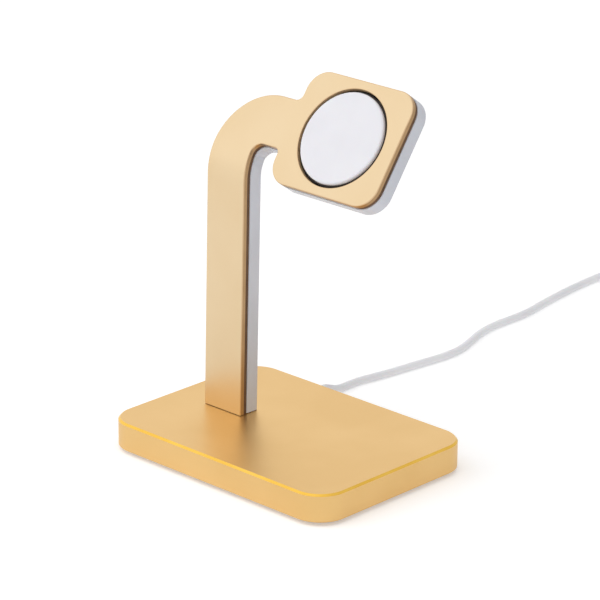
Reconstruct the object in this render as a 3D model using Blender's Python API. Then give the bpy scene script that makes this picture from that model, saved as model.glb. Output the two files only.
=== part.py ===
"""Smartwatch charging dock: a gold metal stand that holds a white charging puck, with its lead.

Lengths are in metres. X runs along the base's long edge, Y to the back and Z up. The origin is the
middle of the base, on the surface that the dock stands on.

The post, arm and head are drawn flat, as the sheet is before it is bent. There a point has three
measures: across (the same as X), up from the top of the base, and deep behind the front face.
"""

import math

import bmesh
import bpy
from mathutils import Vector

# Clearance that touching pieces keep
GAP = 0.0003

# Base block, milled from below
BASE_LENGTH = 0.0830
BASE_DEPTH = 0.0597
BASE_HEIGHT = 0.0081
BASE_CORNER = 0.0086
BASE_TOP_CHAMFER = 0.0006
BASE_BOTTOM_CHAMFER = 0.0002
BASE_WALL = 0.0035
BASE_ROOF = 0.0026
STOP_WIDTH = 0.0015
STOP_LENGTH = 0.0300
STOP_HEIGHT = 0.0030

# Plates under the base
COVER_THICKNESS = 0.0012
FOOT_THICKNESS = 0.0008
FOOT_INSET = 0.0025
BALLAST_LEFT = -0.0080

# Screws of one size hold the cover, the clamp and the post
SCREW_RADIUS = 0.0010
SCREW_HEAD_RADIUS = 0.0019
SCREW_HEAD_HEIGHT = 0.0010
SCREW_GRIP = 0.0027
BOSS_WALL = 0.0013
BOSS_INSET = 0.0045

# Flat sheet of post, arm and head
POST_LEFT = -0.0287
POST_WIDTH = 0.0141
POST_FRONT = -0.0036
POST_LEAN = math.radians(1.3)
HEAD_LEAN = math.radians(35.5)
BEND_START = 0.0681
BEND_RADIUS = 0.0165
SLOT_ABOVE_BEND = 0.0021
SLOT_WIDTH = 0.0092
SLOT_POST_CORNER = 0.0032
SLOT_HEAD_CORNER = 0.0016
ARM_WIDTH = 0.0144
ARM_CORNER = 0.0170
NOTCH_CORNER = 0.0020
HEAD_RISE = 0.0004
HEAD_SIDE_MARGIN = 0.0047
HEAD_END_MARGIN = 0.00255
HEAD_CORNER = 0.0063
HOLE_RADIUS = 0.01425

# Layers of the arm, from the front
PLATE_THICKNESS = 0.00135
PLATE_CHAMFER = 0.0002
REVEAL_WIDTH = 0.00105
REVEAL_DEPTH = 0.0009
SHELL_DEPTH = 0.0047
SHELL_WALL = 0.0010
SHELL_EDGE = 0.0012
RIB_THICKNESS = 0.0009
RIB_DROP = 0.0002
GUIDE_RIBS = 3
GUIDE_RIB_PITCH = 0.0170

# Foot bracket inside the post
BRACKET_HEIGHT = 0.0120

# Charging puck and what it sits in
RING_GAP = 0.0005
PUCK_PROUD = 0.00035
PUCK_EDGE = 0.0006
PUCK_WALL = 0.0009
CAN_FLOOR = 0.0005
CAN_EDGE = 0.0004
SEAT_WIDTH = 0.00135
FERRITE_THICKNESS = 0.0008
BOARD_THICKNESS = 0.0008
BOARD_MARGIN = 0.00185
MAGNET_RADIUS = 0.0036
WINDING_BORE = 0.0045
WINDING_MARGIN = 0.00235

# Lead inside the dock
LEAD_DIAMETER = 0.0024
LEAD_ARM_BEND = 0.0060
LEAD_BASE_BEND = 0.0048
LEAD_EXIT_HEIGHT = 0.0039
CLAMP_PLACE = 0.0140
CLAMP_DEPTH = 0.0050
CLAMP_WEB = 0.0006
CLAMP_SCREW_OFFSET = 0.0040
CLAMP_MARGIN = 0.0026

# Rubber bush where the lead leaves the base
BUSH_WALL = 0.0008
BUSH_FLANGE = 0.0015
BUSH_FLANGE_MARGIN = 0.0013
BOOT_LENGTH = 0.0047
BOOT_WALL = 0.0013
BOOT_TIP_WALL = 0.0006

# Coil, tie and plug of the length that lies behind the dock
FLOOR_CLEARANCE = 0.00005
COIL_X = -0.0140
COIL_Y = 0.2000
COIL_MIDDLE_RADIUS = 0.0125
COIL_COLUMNS = 2
COIL_LAYERS = 4
TIE_THICKNESS = 0.0006
TIE_WIDTH = 0.0040
PLUG_X = 0.0141
PLUG_Y = 0.1530
PLUG_WIDTH = 0.0158
PLUG_HEIGHT = 0.0076
PLUG_LENGTH = 0.0200
PLUG_CORNER = 0.0018
PLUG_EDGE = 0.0006
RELIEF_LENGTH = 0.0070
RELIEF_RADIUS = 0.0024
RELIEF_TIP_RADIUS = 0.0018
SHELL_TUBE_WIDTH = 0.0120
SHELL_TUBE_HEIGHT = 0.0045
SHELL_TUBE_LENGTH = 0.0120
SHELL_TUBE_SHEET = 0.0003
SHELL_TUBE_CORNER = 0.0006
SHELL_TUBE_SEAT = 0.0030
TONGUE_HEIGHT = 0.0016
TONGUE_SETBACK = 0.0004
CONTACTS = 4
CONTACT_PITCH = 0.0023
CONTACT_WIDTH = 0.0010
CONTACT_LENGTH = 0.0075
CONTACT_THICKNESS = 0.0002

# Smoothness of round shapes
ARC_STEPS = 12
ROUND_STEPS = 96
HIDDEN_ROUND_STEPS = 48
SMALL_ROUND_STEPS = 24
EDGE_STEPS = 4
BEND_STEPS = 8
SMALLEST_RADIUS = 0.0001

# Heights in the base
BASE_BOTTOM = FOOT_THICKNESS + GAP
BASE_TOP = BASE_BOTTOM + BASE_HEIGHT
ROOF = BASE_TOP - BASE_ROOF
COVER_TOP = BASE_BOTTOM + COVER_THICKNESS
POCKET_LENGTH = BASE_LENGTH - 2 * BASE_WALL
POCKET_DEPTH = BASE_DEPTH - 2 * BASE_WALL
POCKET_CORNER = max(BASE_CORNER - BASE_WALL, SMALLEST_RADIUS)
SCREW_HOLE = SCREW_RADIUS + GAP
BOSS_RADIUS = SCREW_HOLE + BOSS_WALL
BOSS_X = POCKET_LENGTH / 2 - BOSS_INSET
BOSS_Y = POCKET_DEPTH / 2 - BOSS_INSET

# Depths of the layers behind the front face
TAPE_FRONT = PLATE_THICKNESS + GAP
TAPE_BACK = PLATE_THICKNESS + REVEAL_WIDTH - GAP
SHELL_FRONT = PLATE_THICKNESS + REVEAL_WIDTH
SHELL_BACK = SHELL_FRONT + SHELL_DEPTH
SHELL_FLOOR = SHELL_BACK - SHELL_WALL
RIB_FRONT = SHELL_FRONT + RIB_DROP

# Places on the flat sheet
BEND_ANGLE = HEAD_LEAN - POST_LEAN
BEND_END = BEND_START + BEND_RADIUS * BEND_ANGLE
POST_RIGHT = POST_LEFT + POST_WIDTH
POST_MIDDLE = POST_LEFT + POST_WIDTH / 2
SLOT_TOP = BEND_END + SLOT_ABOVE_BEND
SLOT_MIDDLE = POST_RIGHT + SLOT_WIDTH / 2
ARM_TOP = SLOT_TOP + ARM_WIDTH
ARM_MIDDLE = SLOT_TOP + ARM_WIDTH / 2
HEAD_LEFT = POST_RIGHT + SLOT_WIDTH
HEAD_ACROSS = HEAD_LEFT + HEAD_SIDE_MARGIN + HOLE_RADIUS
HEAD_UP = ARM_MIDDLE + HEAD_RISE
HEAD_RIGHT = HEAD_ACROSS + HOLE_RADIUS + HEAD_SIDE_MARGIN
HEAD_BOTTOM = HEAD_UP - HOLE_RADIUS - HEAD_END_MARGIN
HEAD_TOP = HEAD_UP + HOLE_RADIUS + HEAD_END_MARGIN

# Radii and depths of the puck
PUCK_RADIUS = HOLE_RADIUS - RING_GAP
PUCK_BORE = PUCK_RADIUS - PUCK_WALL
CAP_BACK = SHELL_FRONT - GAP / 2
CAP_INSIDE = PUCK_WALL - PUCK_PROUD
CAN_FRONT = SHELL_FRONT + GAP / 2
CAN_BACK = SHELL_FLOOR - GAP
CAN_INSIDE = CAN_BACK - CAN_FLOOR
SEAT_INNER = PUCK_RADIUS + GAP
SEAT_OUTER = SEAT_INNER + SEAT_WIDTH
RIB_INNER = SEAT_OUTER + GAP
RIB_OUTER = RIB_INNER + RIB_THICKNESS
BOARD_RADIUS = PUCK_BORE - BOARD_MARGIN
BOARD_BACK = CAN_INSIDE - GAP
BOARD_FRONT = BOARD_BACK - BOARD_THICKNESS
FERRITE_BACK = BOARD_FRONT - GAP
FERRITE_FRONT = FERRITE_BACK - FERRITE_THICKNESS
WINDING_FRONT = CAP_INSIDE + GAP
WINDING_BACK = FERRITE_FRONT - GAP
WINDING_RADIUS = PUCK_BORE - WINDING_MARGIN

# Lead, bracket and clamp
LEAD_RADIUS = LEAD_DIAMETER / 2
LEAD_WAY = LEAD_DIAMETER + 2 * GAP
LEAD_HEAD_DEPTH = CAN_FRONT + LEAD_RADIUS
LEAD_POST_DEPTH = SHELL_FLOOR - GAP - LEAD_RADIUS
LEAD_BASE_HEIGHT = ROOF - GAP - LEAD_RADIUS
BRACKET_WIDTH = POST_WIDTH - 2 * SHELL_WALL - 2 * GAP
BRACKET_BACK = SHELL_FLOOR - GAP
BRACKET_MIDDLE = (SHELL_FRONT + BRACKET_BACK) / 2
POST_SCREW_OFFSET = (BRACKET_WIDTH + LEAD_WAY) / 4
CLAMP_TOP = LEAD_BASE_HEIGHT - GAP / 2
CLAMP_BOTTOM = LEAD_BASE_HEIGHT - LEAD_WAY / 2 - CLAMP_WEB
CLAMP_LENGTH = 2 * (CLAMP_SCREW_OFFSET + CLAMP_MARGIN)

# Coil, tie and plug
COIL_INNER = COIL_MIDDLE_RADIUS - COIL_COLUMNS * LEAD_DIAMETER / 2
COIL_OUTER = COIL_MIDDLE_RADIUS + COIL_COLUMNS * LEAD_DIAMETER / 2
COIL_BOTTOM = FLOOR_CLEARANCE + TIE_THICKNESS + GAP
COIL_TOP = COIL_BOTTOM + COIL_LAYERS * LEAD_DIAMETER
PLUG_Z = FLOOR_CLEARANCE + PLUG_HEIGHT / 2
RELIEF_TIP = PLUG_Y + PLUG_LENGTH + RELIEF_LENGTH
BOOT_TIP = BASE_DEPTH / 2 + GAP + BOOT_LENGTH

# Way of the free lead, as it lies in the picture and on to the coil
RUN_ROUTE = [
    (POST_MIDDLE, BOOT_TIP + GAP, LEAD_EXIT_HEIGHT),
    (POST_MIDDLE, 0.0385, 0.0037),
    (-0.0219, 0.0415, 0.0026),
    (-0.0224, 0.0450, 0.00155),
    (-0.0228, 0.0492, 0.00125),
    (-0.0227, 0.0543, 0.00125),
    (-0.0219, 0.0586, 0.00125),
    (-0.0208, 0.0654, 0.00125),
    (-0.0198, 0.0732, 0.00125),
    (-0.0188, 0.0812, 0.00125),
    (-0.0181, 0.0884, 0.00125),
    (-0.0186, 0.0945, 0.00125),
    (-0.0206, 0.1013, 0.00125),
    (-0.0229, 0.1082, 0.00125),
    (-0.0242, 0.1148, 0.00125),
    (-0.0245, 0.1217, 0.00125),
    (-0.0244, 0.1290, 0.00125),
    (-0.0249, 0.1350, 0.00125),
    (-0.0260, 0.1410, 0.00125),
    (-0.0274, 0.1500, 0.00125),
    (-0.0286, 0.1600, 0.00125),
    (-0.0293, 0.1700, 0.00125),
    (-0.0292, 0.1800, 0.00155),
    (-0.0282, 0.1917, 0.00210),
]
TAIL_ROUTE = [
    (0.0025, 0.2031, 0.00925),
    (0.0070, 0.1984, 0.0083),
    (0.0110, 0.1930, 0.0064),
    (0.0134, 0.1872, 0.0046),
    (0.0141, 0.1830, 0.0039),
    (PLUG_X, RELIEF_TIP + GAP, PLUG_Z),
]
CORD_STEP = 0.0060


def clear_scene():
    """Removes what the file starts with."""
    for item in list(bpy.data.objects):
        bpy.data.objects.remove(item, do_unlink=True)


def material(name, colour, metallic, roughness):
    """A plain Principled material. colour is red, green and blue."""
    made = bpy.data.materials.new(name)
    made.use_nodes = True
    shader = made.node_tree.nodes["Principled BSDF"]
    shader.inputs["Base Color"].default_value = (*colour, 1.0)
    shader.inputs["Metallic"].default_value = metallic
    shader.inputs["Roughness"].default_value = roughness
    made.diffuse_color = (*colour, 1.0)
    return made


def frame(name, across, up, forward):
    """An empty whose X, Y and Z axes run across, up and out of the front of the sheet."""
    empty = bpy.data.objects.new(name, None)
    bpy.context.collection.objects.link(empty)
    empty.location = (across, up[0], up[1])
    empty.rotation_euler = (math.radians(90) - forward, 0, 0)
    return empty


def place_mesh(name, bm, finish, parent=None, location=(0, 0, 0)):
    """Turns a bmesh into a linked object."""
    bmesh.ops.recalc_face_normals(bm, faces=bm.faces)
    mesh = bpy.data.meshes.new(name)
    bm.to_mesh(mesh)
    bm.free()
    piece = bpy.data.objects.new(name, mesh)
    bpy.context.collection.objects.link(piece)
    piece.parent = parent
    piece.location = location
    if finish:
        mesh.materials.append(finish)
    return piece


def smooth(piece):
    """Shades round faces smooth and leaves real edges sharp."""
    piece.data.shade_smooth()
    piece.data.set_sharp_from_angle(angle=math.radians(35))


def shape(target, tool, operation):
    """Cuts tool out of target, or joins it on, and takes tool away."""
    modifier = target.modifiers.new(operation.title(), "BOOLEAN")
    modifier.operation = operation
    modifier.solver = "EXACT"
    modifier.object = tool
    bpy.context.view_layer.update()
    depsgraph = bpy.context.evaluated_depsgraph_get()
    mesh = bpy.data.meshes.new_from_object(target.evaluated_get(depsgraph))
    target.modifiers.clear()
    before = target.data
    target.data = mesh
    bpy.data.meshes.remove(before)
    bpy.data.objects.remove(tool, do_unlink=True)


def cut(target, *tools):
    """Cuts each tool out of target."""
    for tool in tools:
        shape(target, tool, "DIFFERENCE")


def join(target, *tools):
    """Joins each tool onto target."""
    for tool in tools:
        shape(target, tool, "UNION")


def round_corners(corners, steps=ARC_STEPS):
    """Points of a closed outline. Each corner is (x, y, radius of its fillet)."""
    points = []
    for index, (x, y, radius) in enumerate(corners):
        corner = Vector((x, y))
        before = (corner - Vector(corners[index - 1][:2])).normalized()
        after = (Vector(corners[(index + 1) % len(corners)][:2]) - corner).normalized()
        if radius <= 0:
            points.append((x, y))
            continue
        turn = math.atan2(before.x * after.y - before.y * after.x, before.dot(after))
        start = corner - before * radius * math.tan(abs(turn) / 2)
        side = math.copysign(1, turn)
        centre = start + Vector((-before.y, before.x)) * radius * side
        for step in range(steps + 1):
            angle = turn * step / steps
            arm = start - centre
            points.append((
                centre.x + arm.x * math.cos(angle) - arm.y * math.sin(angle),
                centre.y + arm.x * math.sin(angle) + arm.y * math.cos(angle),
            ))
    return points


def rectangle(width, height, radius, inset=0.0, steps=EDGE_STEPS):
    """Outline of a rounded rectangle about the origin."""
    x = width / 2 - inset
    y = height / 2 - inset
    fillet = max(radius - inset, SMALLEST_RADIUS)
    corners = [(-x, -y, fillet), (x, -y, fillet), (x, y, fillet), (-x, y, fillet)]
    return round_corners(corners, steps)


def circle(radius, x=0.0, y=0.0, steps=ROUND_STEPS):
    """Points of a circle."""
    turns = [2 * math.pi * step / steps for step in range(steps)]
    return [(x + radius * math.cos(turn), y + radius * math.sin(turn)) for turn in turns]


def along(point, height, axis):
    """A point of an outline, lifted along X, Y or Z."""
    a, b = point
    return {"X": (height, a, b), "Y": (a, height, b), "Z": (a, b, height)}[axis]


def lofted(name, levels, finish=None, holes=(), axis="Z", parent=None, location=(0, 0, 0)):
    """A closed body through a stack of outlines, each (points, height), with open holes."""
    bm = bmesh.new()
    ends = []
    for stack in (levels, *holes):
        rings = [[bm.verts.new(along(point, height, axis)) for point in points] for points, height in stack]
        for low, high in zip(rings, rings[1:]):
            for index in range(len(low)):
                bm.faces.new((low[index - 1], low[index], high[index], high[index - 1]))
        ends.append((rings[0], rings[-1]))
    for caps in zip(*ends):
        edges = [bm.edges.get((ring[index - 1], ring[index])) for ring in caps for index in range(len(ring))]
        bmesh.ops.triangle_fill(bm, use_beauty=True, edges=edges)
    return place_mesh(name, bm, finish, parent, location)


def turned(name, profile, finish=None, steps=ROUND_STEPS, parent=None, location=(0, 0, 0), axis="Z"):
    """A body of revolution. profile is a closed section of (radius, height) points."""
    bm = bmesh.new()
    rings = []
    for radius, height in profile:
        points = circle(radius, steps=steps) if radius > 0 else [(0.0, 0.0)]
        rings.append([bm.verts.new(along(point, height, axis)) for point in points])
    for ring, following in zip(rings, rings[1:] + rings[:1]):
        if len(ring) == 1 and len(following) == 1:
            continue
        for index in range(steps):
            corners = [
                ring[(index - 1) % len(ring)],
                ring[index % len(ring)],
                following[index % len(following)],
                following[(index - 1) % len(following)],
            ]
            bm.faces.new(dict.fromkeys(corners))
    return place_mesh(name, bm, finish, parent, location)


def drum(name, radius, low, high, finish=None, steps=SMALL_ROUND_STEPS, **place):
    """A plain cylinder between two heights."""
    return turned(name, [(0, low), (radius, low), (radius, high), (0, high)], finish, steps, **place)


def block(name, x, y, z, finish=None, **place):
    """A box. x, y and z are each (low, high)."""
    outline = [(x[0], y[0]), (x[1], y[0]), (x[1], y[1]), (x[0], y[1])]
    return lofted(name, [(outline, z[0]), (outline, z[1])], finish, **place)


def quarter_edge(radius, steps=EDGE_STEPS):
    """Steps of a rounded edge as (inset, rise), from the side face to the end face."""
    turns = [math.radians(90) * step / steps for step in range(steps + 1)]
    return [(radius * (1 - math.cos(turn)), radius * math.sin(turn)) for turn in turns]


def sheet_stations():
    """Heights up the post where the bent sheet changes direction, with its place and its depth there."""
    stations = [(0.0, POST_FRONT, BASE_TOP, 1 / math.cos(POST_LEAN), 0.0)]
    start_y = POST_FRONT + BEND_START * math.sin(POST_LEAN)
    start_z = BASE_TOP + BEND_START * math.cos(POST_LEAN)
    for step in range(BEND_STEPS + 1):
        turn = BEND_ANGLE * step / BEND_STEPS
        lean = POST_LEAN + turn
        y = start_y + BEND_RADIUS * (math.cos(POST_LEAN) - math.cos(lean))
        z = start_z + BEND_RADIUS * (math.sin(lean) - math.sin(POST_LEAN))
        stations.append((BEND_START + BEND_RADIUS * turn, y, z, math.cos(lean), -math.sin(lean)))
    return stations


def on_sheet(across, up, deep):
    """Where a point of the flat sheet lies when the post is bent. The head itself stays flat."""
    stations = sheet_stations()
    if across > SLOT_MIDDLE or up >= BEND_END:
        _, y, z, _, _ = stations[-1]
        rest = up - BEND_END
        y += rest * math.sin(HEAD_LEAN) + deep * math.cos(HEAD_LEAN)
        z += rest * math.cos(HEAD_LEAN) - deep * math.sin(HEAD_LEAN)
        return Vector((across, y, z))
    index = 1
    while stations[index][0] < up:
        index += 1
    low, high = stations[index - 1], stations[index]
    share = (up - low[0]) / (high[0] - low[0])
    at_low = Vector((across, low[1] + deep * low[3], low[2] + deep * low[4]))
    at_high = Vector((across, high[1] + deep * high[3], high[2] + deep * high[4]))
    return at_low.lerp(at_high, share)


def bend(piece):
    """Lays a piece drawn flat onto the bent sheet."""
    bm = bmesh.new()
    bm.from_mesh(piece.data)
    everything = bm.verts[:] + bm.edges[:] + bm.faces[:]
    bmesh.ops.bisect_plane(bm, geom=everything, dist=1e-8, plane_co=(0, BEND_END, 0), plane_no=(0, 1, 0))
    for up, *_ in sheet_stations()[1:-1]:
        strip = [face for face in bm.faces if face.calc_center_median().x < SLOT_MIDDLE]
        edges = {edge for face in strip for edge in face.edges}
        corners = {vert for face in strip for vert in face.verts}
        chosen = list(corners) + list(edges) + strip
        bmesh.ops.bisect_plane(bm, geom=chosen, dist=1e-8, plane_co=(0, up, 0), plane_no=(0, 1, 0))
    for vert in bm.verts:
        vert.co = on_sheet(vert.co.x, vert.co.y, -vert.co.z)
    bmesh.ops.recalc_face_normals(bm, faces=bm.faces)
    bm.to_mesh(piece.data)
    bm.free()


def arm_outline(inset=0.0, foot=GAP):
    """Outline of post, arm and head on the flat sheet. The foot has its own height."""
    left, right = POST_LEFT + inset, POST_RIGHT - inset
    slot_top, arm_top = SLOT_TOP + inset, ARM_TOP - inset
    head_left, head_right = HEAD_LEFT + inset, HEAD_RIGHT - inset
    head_bottom, head_top = HEAD_BOTTOM + inset, HEAD_TOP - inset
    head_fillet = max(HEAD_CORNER - inset, SMALLEST_RADIUS)
    return round_corners([
        (left, foot, 0),
        (right, foot, 0),
        (right, slot_top, SLOT_POST_CORNER + inset),
        (head_left, slot_top, SLOT_HEAD_CORNER + inset),
        (head_left, head_bottom, head_fillet),
        (head_right, head_bottom, head_fillet),
        (head_right, head_top, head_fillet),
        (head_left, head_top, head_fillet),
        (head_left, arm_top, NOTCH_CORNER + inset),
        (left, arm_top, max(ARM_CORNER - inset, SMALLEST_RADIUS)),
    ])


def head_circle(radius):
    """A circle about the middle of the head, on the flat sheet."""
    return circle(radius, HEAD_ACROSS, HEAD_UP)


def make_front_plate(finish):
    """The sheet of post, arm and head with its cut edges eased and the hole for the puck."""
    levels = [
        (arm_outline(PLATE_CHAMFER), 0),
        (arm_outline(), -PLATE_CHAMFER),
        (arm_outline(), -PLATE_THICKNESS),
    ]
    hole = [
        (head_circle(HOLE_RADIUS + PLATE_CHAMFER), 0),
        (head_circle(HOLE_RADIUS), -PLATE_CHAMFER),
        (head_circle(HOLE_RADIUS), -PLATE_THICKNESS),
    ]
    plate = lofted("front_plate", levels, finish, holes=[hole])
    bend(plate)
    smooth(plate)


def make_bonding_tape(finish):
    """The dark layer that shows in the groove between the front plate and the rear shell."""
    outline = arm_outline(REVEAL_DEPTH)
    hole = head_circle(HOLE_RADIUS + GAP)
    tape = lofted(
        "bonding_tape",
        [(outline, -TAPE_FRONT), (outline, -TAPE_BACK)],
        finish,
        holes=[[(hole, -TAPE_FRONT), (hole, -TAPE_BACK)]],
    )
    bend(tape)
    smooth(tape)


def lead_notch(across, up):
    """Cutter for the way of the lead through a rib. across and up are each (low, high)."""
    return block("notch", across, up, (-SHELL_FLOOR - GAP / 2, -SHELL_FRONT + GAP))


def make_rear_shell(finish):
    """The moulded rear half: a tray with rounded back edges, a seat rib, guide ribs and corner ribs."""
    levels = [(arm_outline(), -SHELL_FRONT)]
    for inset, rise in quarter_edge(SHELL_EDGE):
        levels.append((arm_outline(inset), -(SHELL_BACK - SHELL_EDGE) - rise))
    shell = lofted("rear_shell", levels, finish)
    inside = arm_outline(SHELL_WALL, foot=-GAP)
    cut(shell, lofted("hollow", [(inside, -SHELL_FRONT + GAP), (inside, -SHELL_FLOOR)]))

    root = -SHELL_FLOOR - SHELL_WALL / 4
    way = LEAD_WAY / 2
    rib = RIB_THICKNESS / 2
    half_post = POST_WIDTH / 2 - SHELL_WALL / 2
    for index in range(GUIDE_RIBS):
        up = BRACKET_HEIGHT + GUIDE_RIB_PITCH * (index + 0.5)
        across = (POST_MIDDLE - half_post, POST_MIDDLE + half_post)
        guide = block("guide_rib", across, (up - rib, up + rib), (root, -RIB_FRONT))
        cut(guide, lead_notch((POST_MIDDLE - way, POST_MIDDLE + way), (up - 2 * rib, up + 2 * rib)))
        join(shell, guide)

    corner_reach = Vector((HEAD_RIGHT - HEAD_ACROSS, HEAD_TOP - HEAD_UP)).length - HEAD_CORNER / 2
    slant = math.atan2(HEAD_TOP - HEAD_UP, HEAD_RIGHT - HEAD_ACROSS)
    seat = turned("seat_rib", [
        (RIB_INNER, -RIB_FRONT), (RIB_OUTER, -RIB_FRONT), (RIB_OUTER, root), (RIB_INNER, root),
    ], location=(HEAD_ACROSS, HEAD_UP, 0))
    reach = (RIB_INNER + RIB_THICKNESS / 2, corner_reach)
    for angle in (slant, -slant, math.pi - slant, math.pi + slant):
        web = block("corner_rib", reach, (-rib, rib), (root, -RIB_FRONT - RIB_DROP))
        web.location = (HEAD_ACROSS, HEAD_UP, 0)
        web.rotation_euler.z = angle
        join(seat, web)
    near = (HEAD_ACROSS - RIB_OUTER - RIB_THICKNESS, HEAD_ACROSS - RIB_INNER + RIB_THICKNESS)
    cut(seat, block(
        "notch",
        (near[0] - HEAD_ACROSS, near[1] - HEAD_ACROSS),
        (ARM_MIDDLE - HEAD_UP - way, ARM_MIDDLE - HEAD_UP + way),
        (-SHELL_FLOOR + GAP / 2, -SHELL_FRONT + GAP),
        location=(HEAD_ACROSS, HEAD_UP, 0),
    ))
    join(shell, seat)
    bend(shell)
    smooth(shell)


def make_post_bracket(post, finish):
    """The foot inside the post: a block with a groove for the lead and two screw holes."""
    half = BRACKET_WIDTH / 2
    bracket = block(
        "post_bracket",
        (-half, half),
        (GAP, BRACKET_HEIGHT),
        (-BRACKET_BACK, -SHELL_FRONT),
        finish,
        parent=post,
    )
    groove_front = LEAD_POST_DEPTH - LEAD_WAY / 2
    groove = block(
        "groove",
        (-LEAD_WAY / 2, LEAD_WAY / 2),
        (-GAP, BRACKET_HEIGHT + GAP),
        (-BRACKET_BACK - GAP, -groove_front),
        parent=post,
    )
    cut(bracket, groove)
    for side in (-1, 1):
        place = {"parent": post, "location": (side * POST_SCREW_OFFSET, 0, -BRACKET_MIDDLE)}
        cut(bracket, drum("hole", SCREW_HOLE, -GAP, BRACKET_HEIGHT + GAP, axis="Y", **place))


def make_screw(name, tip, head, finish, **place):
    """A pan head screw between the height of its head's underside and its tip."""
    seat = head + SCREW_HEAD_HEIGHT
    edge = SCREW_HEAD_HEIGHT / 4
    profile = [
        (0, head),
        (SCREW_HEAD_RADIUS - edge, head),
        (SCREW_HEAD_RADIUS, head + edge),
        (SCREW_HEAD_RADIUS, seat),
        (SCREW_RADIUS, seat),
        (SCREW_RADIUS, tip - edge),
        (SCREW_RADIUS - edge, tip),
        (0, tip),
    ]
    smooth(turned(name, profile, finish, SMALL_ROUND_STEPS, **place))


def make_base_block(post, finish):
    """The milled block: chamfered top edge, pocket, bosses, screw holes and ways for the lead."""
    edges = [
        (BASE_BOTTOM_CHAMFER, BASE_BOTTOM),
        (0, BASE_BOTTOM + BASE_BOTTOM_CHAMFER),
        (0, BASE_TOP - BASE_TOP_CHAMFER),
        (BASE_TOP_CHAMFER, BASE_TOP),
    ]
    size = (BASE_LENGTH, BASE_DEPTH, BASE_CORNER)
    levels = [(rectangle(*size, inset, ARC_STEPS), height) for inset, height in edges]
    base = lofted("base_block", levels, finish)
    pocket = rectangle(POCKET_LENGTH, POCKET_DEPTH, POCKET_CORNER)
    cut(base, lofted("pocket", [(pocket, BASE_BOTTOM - GAP), (pocket, ROOF)]))

    root = ROOF + BASE_ROOF / 4
    bosses = [(x, y, COVER_TOP + GAP) for x in (-BOSS_X, BOSS_X) for y in (-BOSS_Y, BOSS_Y)]
    for side in (-1, 1):
        bosses.append((POST_MIDDLE + side * CLAMP_SCREW_OFFSET, CLAMP_PLACE, CLAMP_TOP + GAP))
    for x, y, bottom in bosses:
        join(base, drum("boss", BOSS_RADIUS, bottom, root, location=(x, y, 0)))
        cut(base, drum("hole", SCREW_HOLE, bottom - GAP, ROOF + BASE_ROOF / 2, location=(x, y, 0)))

    stop_right = BALLAST_LEFT - GAP
    half_stop = STOP_LENGTH / 2
    stop_left = stop_right - STOP_WIDTH
    join(base, block("stop", (stop_left, stop_right), (-half_stop, half_stop), (ROOF - STOP_HEIGHT, root)))

    for side in (-1, 1):
        place = {"parent": post, "location": (side * POST_SCREW_OFFSET, 0, -BRACKET_MIDDLE)}
        cut(base, drum("hole", SCREW_HOLE, -BASE_ROOF - GAP, GAP, axis="Y", **place))

    lead_y = on_sheet(POST_MIDDLE, 0, LEAD_POST_DEPTH).y
    front = lead_y - LEAD_WAY / 2
    back = lead_y + LEAD_WAY / 2
    slope = [
        (front, BASE_TOP + GAP),
        (back, BASE_TOP + GAP),
        (back, BASE_TOP - BASE_ROOF / 4),
        (back + LEAD_RADIUS * 2, ROOF - GAP),
        (front, ROOF - GAP),
    ]
    across = (POST_MIDDLE - LEAD_WAY / 2, POST_MIDDLE + LEAD_WAY / 2)
    cut(base, lofted("lead_slot", [(slope, across[0]), (slope, across[1])], axis="X"))

    wall = (POCKET_DEPTH / 2 - GAP, BASE_DEPTH / 2 + GAP)
    notch = bush_outline(LEAD_WAY / 2 + BUSH_WALL + GAP, BASE_BOTTOM - GAP)
    cut(base, lofted("bush_notch", [(notch, wall[0]), (notch, wall[1])], axis="Y"))
    smooth(base)


def bush_outline(radius, bottom):
    """Outline of the bush and its notch, seen from behind: a round top on straight sides."""
    middle = (POST_MIDDLE, LEAD_EXIT_HEIGHT)
    turns = [math.pi * step / ARC_STEPS for step in range(ARC_STEPS + 1)]
    top = [(middle[0] + radius * math.cos(turn), middle[1] + radius * math.sin(turn)) for turn in turns]
    return top + [(middle[0] - radius, bottom), (middle[0] + radius, bottom)]


def make_cable_grommet(finish):
    """The rubber bush: a flange inside the wall, a neck in its notch and a tapered boot outside."""
    inner = POCKET_DEPTH / 2 - GAP
    outer = BASE_DEPTH / 2
    neck_radius = LEAD_WAY / 2 + BUSH_WALL
    neck = bush_outline(neck_radius, BASE_BOTTOM)
    neck_levels = [(neck, inner - BUSH_FLANGE / 2), (neck, outer + GAP)]
    grommet = lofted("cable_grommet", neck_levels, finish, axis="Y")
    reach = neck_radius + BUSH_FLANGE_MARGIN
    flange = block(
        "flange",
        (POST_MIDDLE - reach, POST_MIDDLE + reach),
        (inner - BUSH_FLANGE, inner),
        (COVER_TOP + GAP, ROOF - GAP),
    )
    join(grommet, flange)
    trim = block(
        "trim",
        (POST_MIDDLE - reach, POST_MIDDLE + reach),
        (inner - 2 * BUSH_FLANGE, inner),
        (BASE_BOTTOM - GAP, COVER_TOP + GAP),
    )
    cut(grommet, trim)
    boot = turned(
        "boot",
        [
            (0, outer + GAP / 2),
            (LEAD_WAY / 2 + BOOT_WALL, outer + GAP / 2),
            (LEAD_WAY / 2 + BOOT_WALL, outer + 2 * GAP),
            (LEAD_WAY / 2 + BOOT_TIP_WALL, BOOT_TIP),
            (0, BOOT_TIP),
        ],
        steps=SMALL_ROUND_STEPS,
        axis="Y",
        location=(POST_MIDDLE, 0, LEAD_EXIT_HEIGHT),
    )
    join(grommet, boot)
    bore = drum(
        "bore",
        LEAD_WAY / 2,
        inner - BUSH_FLANGE - GAP,
        BOOT_TIP + GAP,
        axis="Y",
        location=(POST_MIDDLE, 0, LEAD_EXIT_HEIGHT),
    )
    cut(grommet, bore)
    smooth(grommet)


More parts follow.
